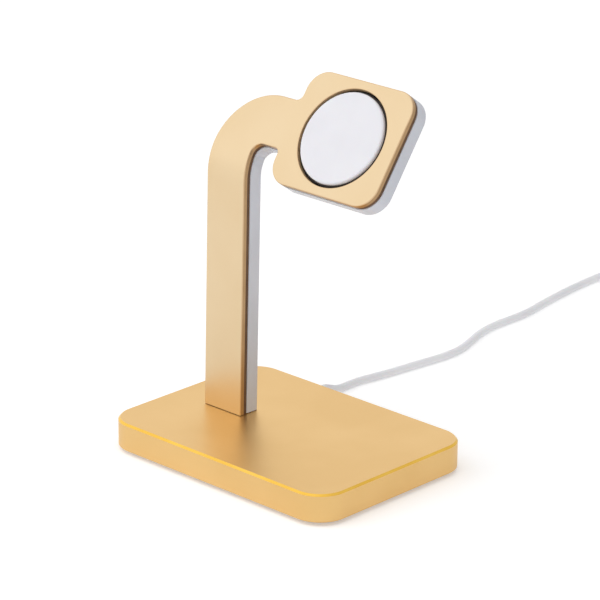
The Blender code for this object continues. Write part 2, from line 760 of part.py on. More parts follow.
def make_base_inside(steel, plastic, rubber, screw_steel):
    """The ballast, the cover and its screws, and the foot pad."""
    right = BOSS_X - BOSS_RADIUS - GAP
    half = POCKET_DEPTH / 2 - GAP
    block("base_ballast", (BALLAST_LEFT, right), (-half, half), (COVER_TOP + GAP, ROOF - GAP), steel)

    outline = rectangle(POCKET_LENGTH, POCKET_DEPTH, POCKET_CORNER, GAP)
    cover = lofted("base_cover", [(outline, BASE_BOTTOM), (outline, COVER_TOP)], plastic)
    sink = SCREW_HEAD_RADIUS - SCREW_RADIUS
    names = iter(("cover_screw_1", "cover_screw_2", "cover_screw_3", "cover_screw_4"))
    for x in (-BOSS_X, BOSS_X):
        for y in (-BOSS_Y, BOSS_Y):
            hole = [
                (0, BASE_BOTTOM - GAP),
                (SCREW_HEAD_RADIUS + 2 * GAP, BASE_BOTTOM - GAP),
                (SCREW_HOLE, BASE_BOTTOM + sink),
                (SCREW_HOLE, COVER_TOP + GAP),
                (0, COVER_TOP + GAP),
            ]
            cut(cover, turned("hole", hole, steps=SMALL_ROUND_STEPS, location=(x, y, 0)))
            screw = [
                (0, BASE_BOTTOM),
                (SCREW_HEAD_RADIUS, BASE_BOTTOM),
                (SCREW_RADIUS, BASE_BOTTOM + sink),
                (SCREW_RADIUS, COVER_TOP + SCREW_GRIP),
                (0, COVER_TOP + SCREW_GRIP),
            ]
            smooth(turned(next(names), screw, screw_steel, SMALL_ROUND_STEPS, location=(x, y, 0)))
    smooth(cover)

    length, depth = BASE_LENGTH - 2 * FOOT_INSET, BASE_DEPTH - 2 * FOOT_INSET
    outline = rectangle(length, depth, max(BASE_CORNER - FOOT_INSET, SMALLEST_RADIUS))
    smooth(lofted("foot_pad", [(outline, 0), (outline, FOOT_THICKNESS)], rubber))


def make_lead_clamp(plastic, screw_steel):
    """The saddle that holds the lead up against the base, and its two screws."""
    half = CLAMP_LENGTH / 2
    front, back = CLAMP_PLACE - CLAMP_DEPTH / 2, CLAMP_PLACE + CLAMP_DEPTH / 2
    across = (POST_MIDDLE - half, POST_MIDDLE + half)
    clamp = block("lead_clamp", across, (front, back), (CLAMP_BOTTOM, CLAMP_TOP), plastic)
    groove_place = {"axis": "Y", "location": (POST_MIDDLE, 0, LEAD_BASE_HEIGHT)}
    groove = drum("groove", LEAD_WAY / 2, front - GAP, back + GAP, **groove_place)
    cut(clamp, groove)
    head = COVER_TOP + GAP
    tip = CLAMP_TOP + SCREW_GRIP
    for side, word in ((-1, "left"), (1, "right")):
        place = (POST_MIDDLE + side * CLAMP_SCREW_OFFSET, CLAMP_PLACE, 0)
        cut(clamp, drum("hole", SCREW_HOLE, CLAMP_BOTTOM - GAP, CLAMP_TOP + GAP, location=place))
        counterbore_top = head + SCREW_HEAD_HEIGHT + GAP
        cut(clamp, drum("sink", SCREW_HEAD_RADIUS + GAP, CLAMP_BOTTOM - GAP, counterbore_top, location=place))
        make_screw("clamp_screw_" + word, tip, head, screw_steel, location=place)
    smooth(clamp)


def make_puck(head, white, tin, copper, ferrite, magnet, board, silicone):
    """The charging puck, from the face that the watch lies on to its back, and the ring it sits in."""
    place = {"parent": head}
    face = [(0, PUCK_PROUD)]
    for inset, rise in reversed(quarter_edge(PUCK_EDGE)):
        face.append((PUCK_RADIUS - inset, PUCK_PROUD - PUCK_EDGE + rise))
    rim = [(PUCK_RADIUS, -CAP_BACK), (PUCK_BORE, -CAP_BACK)]
    hollow = [(PUCK_BORE, -CAP_INSIDE), (0, -CAP_INSIDE)]
    smooth(turned("charger_cap", face + rim + hollow, white, **place))

    back = [(PUCK_RADIUS, -CAN_FRONT)]
    for inset, rise in quarter_edge(CAN_EDGE):
        back.append((PUCK_RADIUS - inset, -(CAN_BACK - CAN_EDGE) - rise))
    can_profile = back + [(0, -CAN_BACK), (0, -CAN_INSIDE), (PUCK_BORE, -CAN_INSIDE), (PUCK_BORE, -CAN_FRONT)]
    can = turned("charger_can", can_profile, tin, HIDDEN_ROUND_STEPS, **place)
    ring_profile = [
        (SEAT_INNER, -SHELL_FRONT),
        (SEAT_OUTER, -SHELL_FRONT),
        (SEAT_OUTER, -CAN_BACK),
        (SEAT_INNER, -CAN_BACK),
    ]
    ring = turned("seat_ring", ring_profile, silicone, **place)
    lead_up = ARM_MIDDLE - HEAD_UP
    way = (lead_up - LEAD_WAY / 2, lead_up + LEAD_WAY / 2)
    for piece in (can, ring):
        notch = block(
            "notch",
            (-SEAT_OUTER - SEAT_WIDTH, -PUCK_BORE + PUCK_WALL),
            way,
            (-CAN_INSIDE + GAP / 2, -SHELL_FRONT + GAP),
            **place,
        )
        cut(piece, notch)
        smooth(piece)

    winding = [
        (WINDING_BORE, -WINDING_FRONT),
        (WINDING_RADIUS, -WINDING_FRONT),
        (WINDING_RADIUS, -WINDING_BACK),
        (WINDING_BORE, -WINDING_BACK),
    ]
    smooth(turned("charging_coil", winding, copper, HIDDEN_ROUND_STEPS, **place))
    inner = {"steps": HIDDEN_ROUND_STEPS, "parent": head}
    smooth(drum("alignment_magnet", MAGNET_RADIUS, -WINDING_BACK, -WINDING_FRONT, magnet, **inner))
    smooth(drum("ferrite_disc", BOARD_RADIUS, -FERRITE_BACK, -FERRITE_FRONT, ferrite, **inner))
    smooth(drum("charger_board", BOARD_RADIUS, -BOARD_BACK, -BOARD_FRONT, board, **inner))


def bent_path(corners, radius, steps=ARC_STEPS):
    """A path of straight runs through corners that are rounded to one radius."""
    path = [corners[0]]
    for before, corner, after in zip(corners, corners[1:], corners[2:]):
        coming = (corner - before).normalized()
        going = (after - corner).normalized()
        turn = coming.angle(going)
        start = corner - coming * radius * math.tan(turn / 2)
        inward = (going - coming * coming.dot(going)).normalized()
        for step in range(steps + 1):
            angle = turn * step / steps
            path.append(start + coming * radius * math.sin(angle) + inward * radius * (1 - math.cos(angle)))
    path.append(corners[-1])
    return path


def tube(name, path, finish):
    """The round lead along a path."""
    curve = bpy.data.curves.new(name, "CURVE")
    curve.dimensions = "3D"
    curve.bevel_depth = LEAD_RADIUS
    curve.bevel_resolution = 2
    curve.use_fill_caps = True
    spline = curve.splines.new("POLY")
    spline.points.add(len(path) - 1)
    for point, place in zip(spline.points, path):
        point.co = (*place, 1.0)
    curve.materials.append(finish)
    lead = bpy.data.objects.new(name, curve)
    bpy.context.collection.objects.link(lead)


def make_inner_lead(finish):
    """The lead that the dock holds: from the puck's board through arm, post and base to the boot's tip."""
    start = Vector((HEAD_ACROSS - BOARD_RADIUS - GAP, ARM_MIDDLE, LEAD_HEAD_DEPTH))
    corner = Vector((POST_MIDDLE, ARM_MIDDLE, LEAD_HEAD_DEPTH))
    below = Vector((POST_MIDDLE, BRACKET_HEIGHT, LEAD_POST_DEPTH))
    flat = bent_path([start, corner, below], LEAD_ARM_BEND)
    down = flat[-2]
    for up, *_ in reversed(sheet_stations()[1:]):
        if up < down.y:
            flat.insert(-1, down.lerp(below, (down.y - up) / (down.y - below.y)))
    held = [on_sheet(*point) for point in flat]

    turn_down = on_sheet(POST_MIDDLE, LEAD_BASE_HEIGHT - BASE_TOP, LEAD_POST_DEPTH)
    flange = POCKET_DEPTH / 2 - GAP - BUSH_FLANGE
    clamp_back = CLAMP_PLACE + CLAMP_DEPTH / 2
    in_base = [
        held[-1],
        turn_down,
        Vector((POST_MIDDLE, clamp_back + LEAD_RADIUS, LEAD_BASE_HEIGHT)),
        Vector((POST_MIDDLE, flange - LEAD_RADIUS, LEAD_EXIT_HEIGHT)),
        Vector((POST_MIDDLE, BOOT_TIP, LEAD_EXIT_HEIGHT)),
    ]
    tube("inner_lead", held[:-1] + bent_path(in_base, LEAD_BASE_BEND, steps=EDGE_STEPS * 2), finish)


def smooth_path(route, spacing):
    """Points at an even spacing along one smooth curve through the route's own points."""
    points = [Vector(place) for place in route]
    points = [points[0] * 2 - points[1]] + points + [points[-1] * 2 - points[-2]]
    fine = []
    for before, start, end, after in zip(points, points[1:], points[2:], points[3:]):
        for step in range(EDGE_STEPS * 4):
            share = step / (EDGE_STEPS * 4)
            fine.append(0.5 * (
                2 * start
                + (end - before) * share
                + (2 * before - 5 * start + 4 * end - after) * share**2
                + (3 * start - before - 3 * end + after) * share**3
            ))
    fine.append(points[-2])
    length = sum((end - start).length for start, end in zip(fine, fine[1:]))
    step = length / round(length / spacing)
    path, gone = [fine[0]], 0.0
    for start, end in zip(fine, fine[1:]):
        gone += (end - start).length
        if gone >= step * len(path) and end != fine[-1]:
            path.append(end)
    return path + [fine[-1]]


def make_free_cord(white, tie_finish):
    """The free lead: its run from the boot, the coil with its tie, and the tail to the plug."""
    tube("cable_run", smooth_path(RUN_ROUTE, CORD_STEP), white)
    tube("cable_tail", smooth_path(TAIL_ROUTE, CORD_STEP / 2), white)

    half = (COIL_OUTER - COIL_INNER) / 2
    section = rectangle(2 * half, COIL_TOP - COIL_BOTTOM, LEAD_RADIUS)
    middle = (COIL_TOP + COIL_BOTTOM) / 2
    profile = [(COIL_MIDDLE_RADIUS + x, middle + z) for x, z in section]
    smooth(turned("cable_coil", profile, white, HIDDEN_ROUND_STEPS, location=(COIL_X, COIL_Y, 0)))

    near = math.sqrt(COIL_INNER**2 - (TIE_WIDTH / 2) ** 2) - GAP
    far = COIL_OUTER + GAP
    tie_middle = (COIL_Y - (near + far) / 2, middle)
    inside = rectangle(far - near, COIL_TOP - COIL_BOTTOM + 2 * GAP, LEAD_RADIUS)
    outside = rectangle(far - near, COIL_TOP - COIL_BOTTOM + 2 * GAP, LEAD_RADIUS, -TIE_THICKNESS)
    stacks = []
    for outline in (outside, inside):
        moved = [(tie_middle[0] + y, tie_middle[1] + z) for y, z in outline]
        stacks.append([(moved, COIL_X - TIE_WIDTH / 2), (moved, COIL_X + TIE_WIDTH / 2)])
    smooth(lofted("cable_tie", stacks[0], tie_finish, holes=[stacks[1]], axis="X"))


def make_plug(white, steel, insulator, gold):
    """The plug: moulded body with its strain relief, sheet metal shell, tongue and contacts."""
    place = {"axis": "Y", "location": (PLUG_X, 0, PLUG_Z)}
    face, end = PLUG_Y, PLUG_Y + PLUG_LENGTH
    levels = []
    for inset, rise in reversed(quarter_edge(PLUG_EDGE, 2)):
        levels.append((rectangle(PLUG_WIDTH, PLUG_HEIGHT, PLUG_CORNER, inset), face + PLUG_EDGE - rise))
    for inset, rise in quarter_edge(PLUG_EDGE, 2):
        levels.append((rectangle(PLUG_WIDTH, PLUG_HEIGHT, PLUG_CORNER, inset), end - PLUG_EDGE + rise))
    body = lofted("plug_body", levels, white, **place)
    relief = [
        (0, end - PLUG_EDGE),
        (RELIEF_RADIUS, end - PLUG_EDGE),
        (RELIEF_TIP_RADIUS, RELIEF_TIP),
        (0, RELIEF_TIP),
    ]
    join(body, turned("relief", relief, steps=SMALL_ROUND_STEPS, **place))
    seat = rectangle(SHELL_TUBE_WIDTH, SHELL_TUBE_HEIGHT, SHELL_TUBE_CORNER, -GAP)
    seat_end = face + SHELL_TUBE_SEAT
    cut(body, lofted("seat", [(seat, face - GAP), (seat, seat_end)], **place))
    smooth(body)

    outside = rectangle(SHELL_TUBE_WIDTH, SHELL_TUBE_HEIGHT, SHELL_TUBE_CORNER)
    inside = rectangle(SHELL_TUBE_WIDTH, SHELL_TUBE_HEIGHT, SHELL_TUBE_CORNER, SHELL_TUBE_SHEET)
    mouth = face - SHELL_TUBE_LENGTH
    root = seat_end - GAP
    shell = lofted(
        "plug_shell",
        [(outside, mouth), (outside, root)],
        steel,
        holes=[[(inside, mouth), (inside, root)]],
        **place,
    )
    smooth(shell)

    half = SHELL_TUBE_WIDTH / 2 - SHELL_TUBE_SHEET - GAP
    top = PLUG_Z + SHELL_TUBE_HEIGHT / 2 - SHELL_TUBE_SHEET - GAP
    bottom = top - TONGUE_HEIGHT
    tongue_end = mouth + TONGUE_SETBACK
    block("plug_insert", (PLUG_X - half, PLUG_X + half), (tongue_end, root), (bottom, top), insulator)
    for index in range(CONTACTS):
        x = PLUG_X + (index - (CONTACTS - 1) / 2) * CONTACT_PITCH
        block(
            "plug_contact_" + str(index + 1),
            (x - CONTACT_WIDTH / 2, x + CONTACT_WIDTH / 2),
            (tongue_end + CONTACT_WIDTH, tongue_end + CONTACT_WIDTH + CONTACT_LENGTH),
            (bottom - GAP - CONTACT_THICKNESS, bottom - GAP),
            gold,
        )


def main():
    """Builds every piece."""
    clear_scene()
    gold = material("gold_anodised", (0.80, 0.57, 0.30), 1.0, 0.30)
    white = material("white_plastic", (0.80, 0.80, 0.83), 0.0, 0.35)
    cord_white = material("white_cord", (0.72, 0.72, 0.74), 0.0, 0.45)
    tape = material("dark_tape", (0.05, 0.035, 0.03), 0.0, 0.60)
    silicone = material("dark_silicone", (0.03, 0.028, 0.027), 0.0, 0.60)
    rubber = material("black_rubber", (0.02, 0.02, 0.02), 0.0, 0.80)
    black_plastic = material("black_plastic", (0.03, 0.03, 0.03), 0.0, 0.50)
    steel = material("ballast_steel", (0.45, 0.45, 0.46), 1.0, 0.45)
    screw_steel = material("screw_steel", (0.35, 0.35, 0.36), 1.0, 0.35)
    plug_steel = material("plug_steel", (0.70, 0.70, 0.70), 1.0, 0.22)
    copper = material("copper_wire", (0.72, 0.35, 0.16), 1.0, 0.40)
    ferrite = material("dark_ferrite", (0.07, 0.07, 0.08), 0.0, 0.70)
    magnet = material("nickel_magnet", (0.62, 0.60, 0.55), 1.0, 0.25)
    board = material("circuit_board", (0.02, 0.16, 0.07), 0.0, 0.50)
    contact = material("contact_gold", (0.83, 0.60, 0.22), 1.0, 0.25)

    post = frame("post_frame", POST_MIDDLE, (POST_FRONT, BASE_TOP), POST_LEAN)
    head_centre = on_sheet(HEAD_ACROSS, HEAD_UP, 0)
    head = frame("head_frame", HEAD_ACROSS, (head_centre.y, head_centre.z), HEAD_LEAN)

    make_base_block(post, gold)
    make_base_inside(steel, black_plastic, rubber, screw_steel)
    make_lead_clamp(black_plastic, screw_steel)
    make_cable_grommet(cord_white)
    make_post_bracket(post, steel)
    for side, word in ((-1, "left"), (1, "right")):
        place = {"axis": "Y", "parent": post, "location": (side * POST_SCREW_OFFSET, 0, -BRACKET_MIDDLE)}
        head_end = -BASE_ROOF - GAP - SCREW_HEAD_HEIGHT
        make_screw("post_screw_" + word, BRACKET_HEIGHT - SCREW_GRIP, head_end, screw_steel, **place)
    make_front_plate(gold)
    make_bonding_tape(tape)
    make_rear_shell(white)
    make_puck(head, white, plug_steel, copper, ferrite, magnet, board, silicone)
    make_inner_lead(cord_white)
    make_free_cord(cord_white, black_plastic)
    make_plug(white, plug_steel, white, contact)


main()
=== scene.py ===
"""Smartwatch charging dock: its fine shapes, finishes, light and camera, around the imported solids.

Lengths are in metres. X runs along the base's long edge, Y to the back and Z up. The origin is the
middle of the base, on the surface that the dock stands on.

The post, arm and head are drawn flat first, as the sheet is before it is bent. There X is across,
Y is up from the top of the base, and the front face lies at Z = 0 with its layers behind it.
"""

import logging
import math
from collections.abc import Callable, Sequence
from dataclasses import dataclass
from enum import Enum

import bmesh
import bpy
from mathutils import Matrix, Vector


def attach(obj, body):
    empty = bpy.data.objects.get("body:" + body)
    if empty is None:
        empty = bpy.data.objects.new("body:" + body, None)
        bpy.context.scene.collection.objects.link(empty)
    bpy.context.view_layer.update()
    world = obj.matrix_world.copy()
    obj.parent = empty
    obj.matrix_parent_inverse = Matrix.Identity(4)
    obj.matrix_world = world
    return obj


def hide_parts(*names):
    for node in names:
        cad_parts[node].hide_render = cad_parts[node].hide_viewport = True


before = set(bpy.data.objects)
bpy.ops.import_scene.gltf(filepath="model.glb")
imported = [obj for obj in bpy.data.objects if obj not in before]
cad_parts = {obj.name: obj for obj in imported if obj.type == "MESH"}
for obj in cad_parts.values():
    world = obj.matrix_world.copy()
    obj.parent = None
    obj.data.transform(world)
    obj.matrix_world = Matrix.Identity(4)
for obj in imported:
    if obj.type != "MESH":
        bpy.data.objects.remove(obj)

log = logging.getLogger("dock")

# Two lengths, such as the lowest and the highest X, and a place or direction in X, Y and Z.
Span = tuple[float, float]
Point = tuple[float, float, float]
# Blender's node trees and sockets, and what a test in edit mode looks at.
Tree = bpy.types.NodeTree
Socket = bpy.types.NodeSocket
Part = bmesh.types.BMVert | bmesh.types.BMEdge | bmesh.types.BMFace
Test = Callable[..., bool]

MM = 0.001
# Gap between solids that touch, and how far a cut runs past a face.
GAP = 0.0003
# Places closer together than this count as one.
NEAR = 0.00001
# Cosine above which two directions count as one.
SAME_WAY = 0.999
# Number of faces across an eased edge, and across a small rounded one.
EASED = 2
ROUNDED = 3
# The one body, since nothing on the dock moves.
BODY = "root"


class Kind(Enum):
    """What is picked in edit mode, with its switches for corners, edges and faces."""

    CORNERS = (True, False, False)
    EDGES = (False, True, False)
    FACES = (False, False, True)


class Axis(Enum):
    """An axis, with its place in a point."""

    X = 0
    Y = 1
    Z = 2


class Boolean(Enum):
    """What another piece does to this one."""

    ADD = "UNION"
    REMOVE = "DIFFERENCE"


class Slot(Enum):
    """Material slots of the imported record."""

    GOLD = "gold_anodised"
    WHITE = "white_plastic"
    CORD = "white_cord"
    TAPE = "dark_tape"
    RUBBER = "black_rubber"
    BLACK = "black_plastic"
    PLUG_STEEL = "plug_steel"


def linear(code: str) -> tuple[float, float, float, float]:
    """Turns an sRGB hex colour into linear light.

    Args:
        code: Colour such as "#EDC38D".

    Returns:
        Linear red, green, blue and an alpha of 1.
    """
    parts = [int(code[start:start + 2], 16) / 255 for start in (1, 3, 5)]
    light = [
        part / 12.92 if part <= 0.04045 else ((part + 0.055) / 1.055) ** 2.4 for part in parts
    ]
    return (light[0], light[1], light[2], 1.0)


def add_node(tree: Tree, kind: str, settings: dict, links: dict | None = None) -> bpy.types.Node:
    """Adds a node with its settings and links.

    Args:
        tree: Node tree that takes the node.
        kind: Blender's name for the node.
        settings: Values by property name, or by the name or number of an input.
        links: Output sockets by the name or number of the input that they feed.

    Returns:
        The new node.
    """
    made = tree.nodes.new(kind)
    for key, value in settings.items():
        if isinstance(key, str) and key[0].islower():
            setattr(made, key, value)
        else:
            made.inputs[key].default_value = value
    for key, source in (links or {}).items():
        tree.links.new(source, made.inputs[key])
    return made


@dataclass(frozen=True)
class Finish:
    """A surface as it is made: its colour, its shine and its grain.

    Attributes:
        name: Common name of the material and how its surface was made.
        colour: Colour in sRGB hex.
        shade: Colour that it drifts to in soft patches.
        roughness: Roughness in the middle of its range.
        metallic: 1 for a metal, 0 for the rest.
        ior: Index of refraction; a metal keeps the default.
        grain: Size of its grain in millimetres.
        depth: Height of its grain in millimetres.
        uneven: How far the roughness varies with the grain.
        patch: Size of the patches over which the colour drifts, in millimetres.
        along: How many times longer the grain is along X, Y and Z.
        specks: Share of the shade colour that the grain itself takes on.
        coat: Weight of a clear layer on top.
        sheen: Weight of the soft light that dust and fibres give at the edges.
        soft: Weight of the light that passes under the surface.
    """

    name: str
    colour: str
    shade: str
    roughness: float
    metallic: float = 0.0
    ior: float = 1.5
    grain: float = 0.5
    depth: float = 0.004
    uneven: float = 0.04
    patch: float = 14.0
    along: Point = (1.0, 1.0, 1.0)
    specks: float = 0.15
    coat: float = 0.0
    sheen: float = 0.0
    soft: float = 0.0

    def relief(self, tree: Tree, place: Socket) -> Socket:
        """Draws the grain's height.

        Args:
            tree: Node tree of the material.
            place: Object coordinates.

        Returns:
            Height between 0 and 1.
        """
        scale = [1 / times for times in self.along]
        laid = add_node(tree, "ShaderNodeMapping", {"Scale": scale}, {"Vector": place})
        grain = {"Scale": 1 / (self.grain * MM), "Detail": 3.0, "Roughness": 0.6}
        noise = add_node(tree, "ShaderNodeTexNoise", grain, {"Vector": laid.outputs[0]})
        return noise.outputs["Fac"]

    def tint(self, tree: Tree, place: Socket, height: Socket) -> Socket:
        """Drifts the colour in soft patches and with the grain.

        Args:
            tree: Node tree of the material.
            place: Object coordinates.
            height: The grain's height.

        Returns:
            Colour of the surface.
        """
        cloud = {"Scale": 1 / (self.patch * MM), "Detail": 2.0, "Roughness": 0.5}
        patches = add_node(tree, "ShaderNodeTexNoise", cloud, {"Vector": place}).outputs["Fac"]
        ends = {"From Min": 0.35, "From Max": 0.65, "To Min": 0.0, "To Max": 0.5}
        share = add_node(tree, "ShaderNodeMapRange", ends, {"Value": patches}).outputs[0]
        weight = {"operation": "MULTIPLY_ADD", 1: self.specks}
        share = add_node(tree, "ShaderNodeMath", weight, {0: height, 2: share}).outputs[0]
        colours = {"data_type": "RGBA", 6: linear(self.colour), 7: linear(self.shade)}
        return add_node(tree, "ShaderNodeMix", colours, {0: share}).outputs[2]

    def make(self) -> bpy.types.Material:
        """Makes the material, or gives it again if it is there.

        Returns:
            The material.
        """
        known = bpy.data.materials.get(self.name)
        if known:
            return known
        made = bpy.data.materials.new(self.name)
        made.use_nodes = True
        tree = made.node_tree
        shader = tree.nodes["Principled BSDF"]
        place = add_node(tree, "ShaderNodeTexCoord", {}).outputs["Object"]
        height = self.relief(tree, place)
        ends = {"To Min": self.roughness - self.uneven, "To Max": self.roughness + self.uneven}
        rough = add_node(tree, "ShaderNodeMapRange", ends, {"Value": height}).outputs[0]
        raised = {"Strength": 1.0, "Distance": self.depth * MM}
        bump = add_node(tree, "ShaderNodeBump", raised, {"Height": height}).outputs[0]
        colour = self.tint(tree, place, height)
        for name, source in (("Base Color", colour), ("Roughness", rough), ("Normal", bump)):
            tree.links.new(source, shader.inputs[name])
        settings = {
            "Metallic": self.metallic, "IOR": self.ior, "Coat Weight": self.coat,
            "Coat Roughness": 0.12, "Sheen Weight": self.sheen,
            "Subsurface Weight": self.soft, "Subsurface Scale": MM,
        }
        for name, value in settings.items():
            shader.inputs[name].default_value = value
        return made


@dataclass(frozen=True)
class RingedFinish(Finish):
    """A surface of fine rings about one centre, such as a flat winding or a faced end.

    Attributes:
        centre: Middle of the rings.
        lean: How far the rings' axis leans back from the horizontal, in radians.
        pitch: Width of one ring in millimetres.
    """

    centre: Point = (0.0, 0.0, 0.0)
    lean: float = 0.0
    pitch: float = 0.4

    def relief(self, tree: Tree, place: Socket) -> Socket:
        """Draws the rings' height.

        Args:
            tree: Node tree of the material.
            place: Object coordinates.

        Returns:
            Height between 0 and 1.
        """
        from_centre = {"operation": "SUBTRACT", 1: self.centre}
        centred = add_node(tree, "ShaderNodeVectorMath", from_centre, {0: place})
        turned = {"rotation_type": "X_AXIS", "Angle": self.lean - math.pi / 2}
        laid = add_node(tree, "ShaderNodeVectorRotate", turned, {"Vector": centred.outputs[0]})
        rings = {
            "wave_type": "RINGS", "rings_direction": "Z",
            "Scale": math.pi / (10 * self.pitch * MM), "Distortion": 0.2,
        }
        wave = add_node(tree, "ShaderNodeTexWave", rings, {"Vector": laid.outputs[0]})
        return wave.outputs["Fac"]


@dataclass(frozen=True)
class BoardFinish(Finish):
    """A circuit board's solder mask over its copper tracks."""

    def relief(self, tree: Tree, place: Socket) -> Socket:
        """Draws the tracks as ridges under the mask.

        Args:
            tree: Node tree of the material.
            place: Object coordinates.

        Returns:
            Height between 0 and 1.
        """
        tracks = {
            "feature": "DISTANCE_TO_EDGE", "Scale": 1 / (self.grain * MM), "Randomness": 0.6,
        }
        cells = add_node(tree, "ShaderNodeTexVoronoi", tracks, {"Vector": place})
        ends = {"From Min": 0.06, "From Max": 0.12, "To Min": 1.0, "To Max": 0.0}
        near_edge = {"Value": cells.outputs["Distance"]}
        return add_node(tree, "ShaderNodeMapRange", ends, near_edge).outputs[0]


# Grit-blasted and anodised aluminium: soft, even reflections of what stands near it.
# The blasting's grain is about 0.05 mm, too fine to show, so it is drawn ten times coarser.
SATIN_GOLD = Finish(
    "grit-blasted anodised aluminium, gold", "#F0C989", "#E8BF7C", 0.39, metallic=1.0,
    grain=0.5, depth=0.0016, uneven=0.03, patch=22.0, specks=0.10,
)
# The front sheet is rolled before it is blasted, so its grain is a little longer up the sheet.
SHEET_GOLD = Finish(
    "grit-blasted rolled aluminium sheet, gold", "#EAD2AC", "#E5CAA0", 0.37, metallic=1.0,
    grain=0.5, depth=0.0016, uneven=0.03, patch=22.0, along=(1.0, 2.0, 2.0), specks=0.10,
)
# The edge is cut with a diamond after blasting: brighter and smoother, with lines along the edge.
BRIGHT_CUT = Finish(
    "diamond-cut anodised aluminium edge, gold", "#F7C95E", "#ECB748", 0.18, metallic=1.0,
    grain=0.25, depth=0.0008, uneven=0.04, patch=9.0, along=(14.0, 14.0, 1.0), specks=0.2,
)
# The sheet's front edge is eased before anodising, so it keeps the sheet's own dull shine.
# Its colour is the sheet's gold a little darker, as painted shade that dims the edge's highlight.
EASED_EDGE_PAINTED_SHADE = Finish(
    "eased anodised aluminium edge, gold", "#DFC199", "#D1B188", 0.32, metallic=1.0,
    grain=0.25, depth=0.001, uneven=0.04, patch=9.0, along=(14.0, 14.0, 1.0), specks=0.2,
)
# The sheet's own cut edge is anodised as it comes from the saw: duller, with fine lines along it.
# Its colour is darker than the sheet's face, as painted shade on the sheet's side faces.
SAWN_EDGE_PAINTED_SHADE = Finish(
    "sawn anodised aluminium edge, gold", "#C2A078", "#AE8B62", 0.40, metallic=1.0,
    grain=0.25, depth=0.002, uneven=0.06, patch=7.0, along=(10.0, 10.0, 1.0), specks=0.25,
)
# The puck's hole is bored and left rough, so its wall spreads the light that falls into the ring.
BORED_EDGE = Finish(
    "bored anodised aluminium edge, gold", "#F1D6AE", "#E2C296", 0.75, metallic=1.0,
    grain=0.3, depth=0.004, uneven=0.08, patch=6.0, specks=0.25,
)
# Milled and anodised inside, where nobody polishes: lines of the cutter.
MILLED_GOLD = Finish(
    "milled anodised aluminium, gold", "#D9AE74", "#C89A60", 0.42, metallic=1.0,
    grain=0.6, depth=0.006, uneven=0.08, patch=8.0, along=(10.0, 1.0, 1.0), specks=0.35,
)
# ABS from a spark-eroded mould: a very fine matt grain, here drawn at 0.4 mm so that it shows.
MOULDED_WHITE = Finish(
    "spark-eroded moulded ABS, white", "#DADCE4", "#D1D3DB", 0.42,
    grain=0.4, depth=0.006, uneven=0.06, patch=18.0, specks=0.12, soft=0.04,
)
# Polycarbonate from a polished mould: soft gloss with the faintest orange peel.
GLOSS_WHITE = Finish(
    "polished moulded polycarbonate, white", "#EBEAEF", "#E4E3E9", 0.24, ior=1.585,
    grain=2.2, depth=0.0025, uneven=0.03, patch=12.0, specks=0.08, soft=0.05,
)
# Moulded plug body and cord boot: the lead's own resin, a little glossier from the mould.
PLUG_WHITE = Finish(
    "moulded thermoplastic elastomer, white", "#EEEEF1", "#E4E4E8", 0.38, ior=1.52,
    grain=0.45, depth=0.004, uneven=0.05, patch=10.0, specks=0.12, soft=0.05,
)
# Extruded cable jacket: smooth, slightly rubbery, with fine draw lines in the skin.
JACKET_WHITE = Finish(
    "extruded thermoplastic elastomer jacket, white", "#F5F5F8", "#ECECF0", 0.44, ior=1.52,
    grain=0.5, depth=0.003, uneven=0.05, patch=16.0, specks=0.12, sheen=0.05, soft=0.05,
)
# Closed-cell foam bonding tape, brown and seen only on its cut edge, where the cells show dark.
# Its dark brown also stands as painted shade in the groove between sheet and shell.
FOAM_TAPE_GROOVE_SHADE = Finish(
    "closed-cell foam bonding tape, cut edge", "#7A5A3E", "#5C432E", 0.75,
    grain=0.35, depth=0.03, uneven=0.08, patch=5.0, specks=0.5,
)
# Moulded silicone: matt, nearly black with a trace of brown, and a dusty sheen at its edges.
# On the puck's rim this black is also painted shade for the gap round the puck.
SILICONE_BLACK_AND_GAP_SHADE = Finish(
    "moulded silicone rubber, black", "#2B2421", "#1E1917", 0.62, ior=1.41,
    grain=0.4, depth=0.006, uneven=0.06, patch=6.0, specks=0.3, sheen=0.15,
)
# Die-cut rubber foot: grippy, matt, with talc in its pores.
RUBBER_BLACK = Finish(
    "die-cut natural rubber foot, black", "#1F1E1D", "#2C2A28", 0.82, ior=1.52,
    grain=0.45, depth=0.02, uneven=0.08, patch=9.0, specks=0.5, sheen=0.1,
)
# Hidden moulded parts, in a plain black nylon.
NYLON_BLACK = Finish(
    "moulded nylon, black", "#232323", "#2E2E2E", 0.52, ior=1.53,
    grain=0.5, depth=0.01, uneven=0.08, patch=8.0, specks=0.3,
)
# Woven hook-and-loop strap, whose ribs run across it every 0.7 mm.
WOVEN_STRAP = Finish(
    "woven nylon strap, black", "#26262A", "#121214", 0.85, ior=1.53,
    grain=0.7, depth=0.06, uneven=0.05, patch=6.0, along=(12.0, 1.0, 1.0), specks=0.8, sheen=0.4,
)
# Zinc-plated steel plate with the clouds that barrel plating leaves.
ZINC_STEEL = Finish(
    "zinc-plated steel plate", "#B9BBBE", "#9C9FA4", 0.42, metallic=1.0,
    grain=0.8, depth=0.006, uneven=0.12, patch=5.0, specks=0.35,
)
# Small screws, nickel on steel, lightly burnished by the driver.
SCREW_STEEL = Finish(
    "nickel-plated screw steel", "#A8A6A2", "#8B8884", 0.32, metallic=1.0,
    grain=0.3, depth=0.003, uneven=0.1, patch=2.0, specks=0.3,
)
# Bright nickel on drawn sheet: draw lines run along the plug.
PLUG_NICKEL = Finish(
    "drawn nickel-plated steel sheet", "#D9D8D4", "#C4C2BD", 0.2, metallic=1.0,
    grain=0.3, depth=0.0015, uneven=0.06, patch=4.0, along=(1.0, 16.0, 1.0), specks=0.3,
)
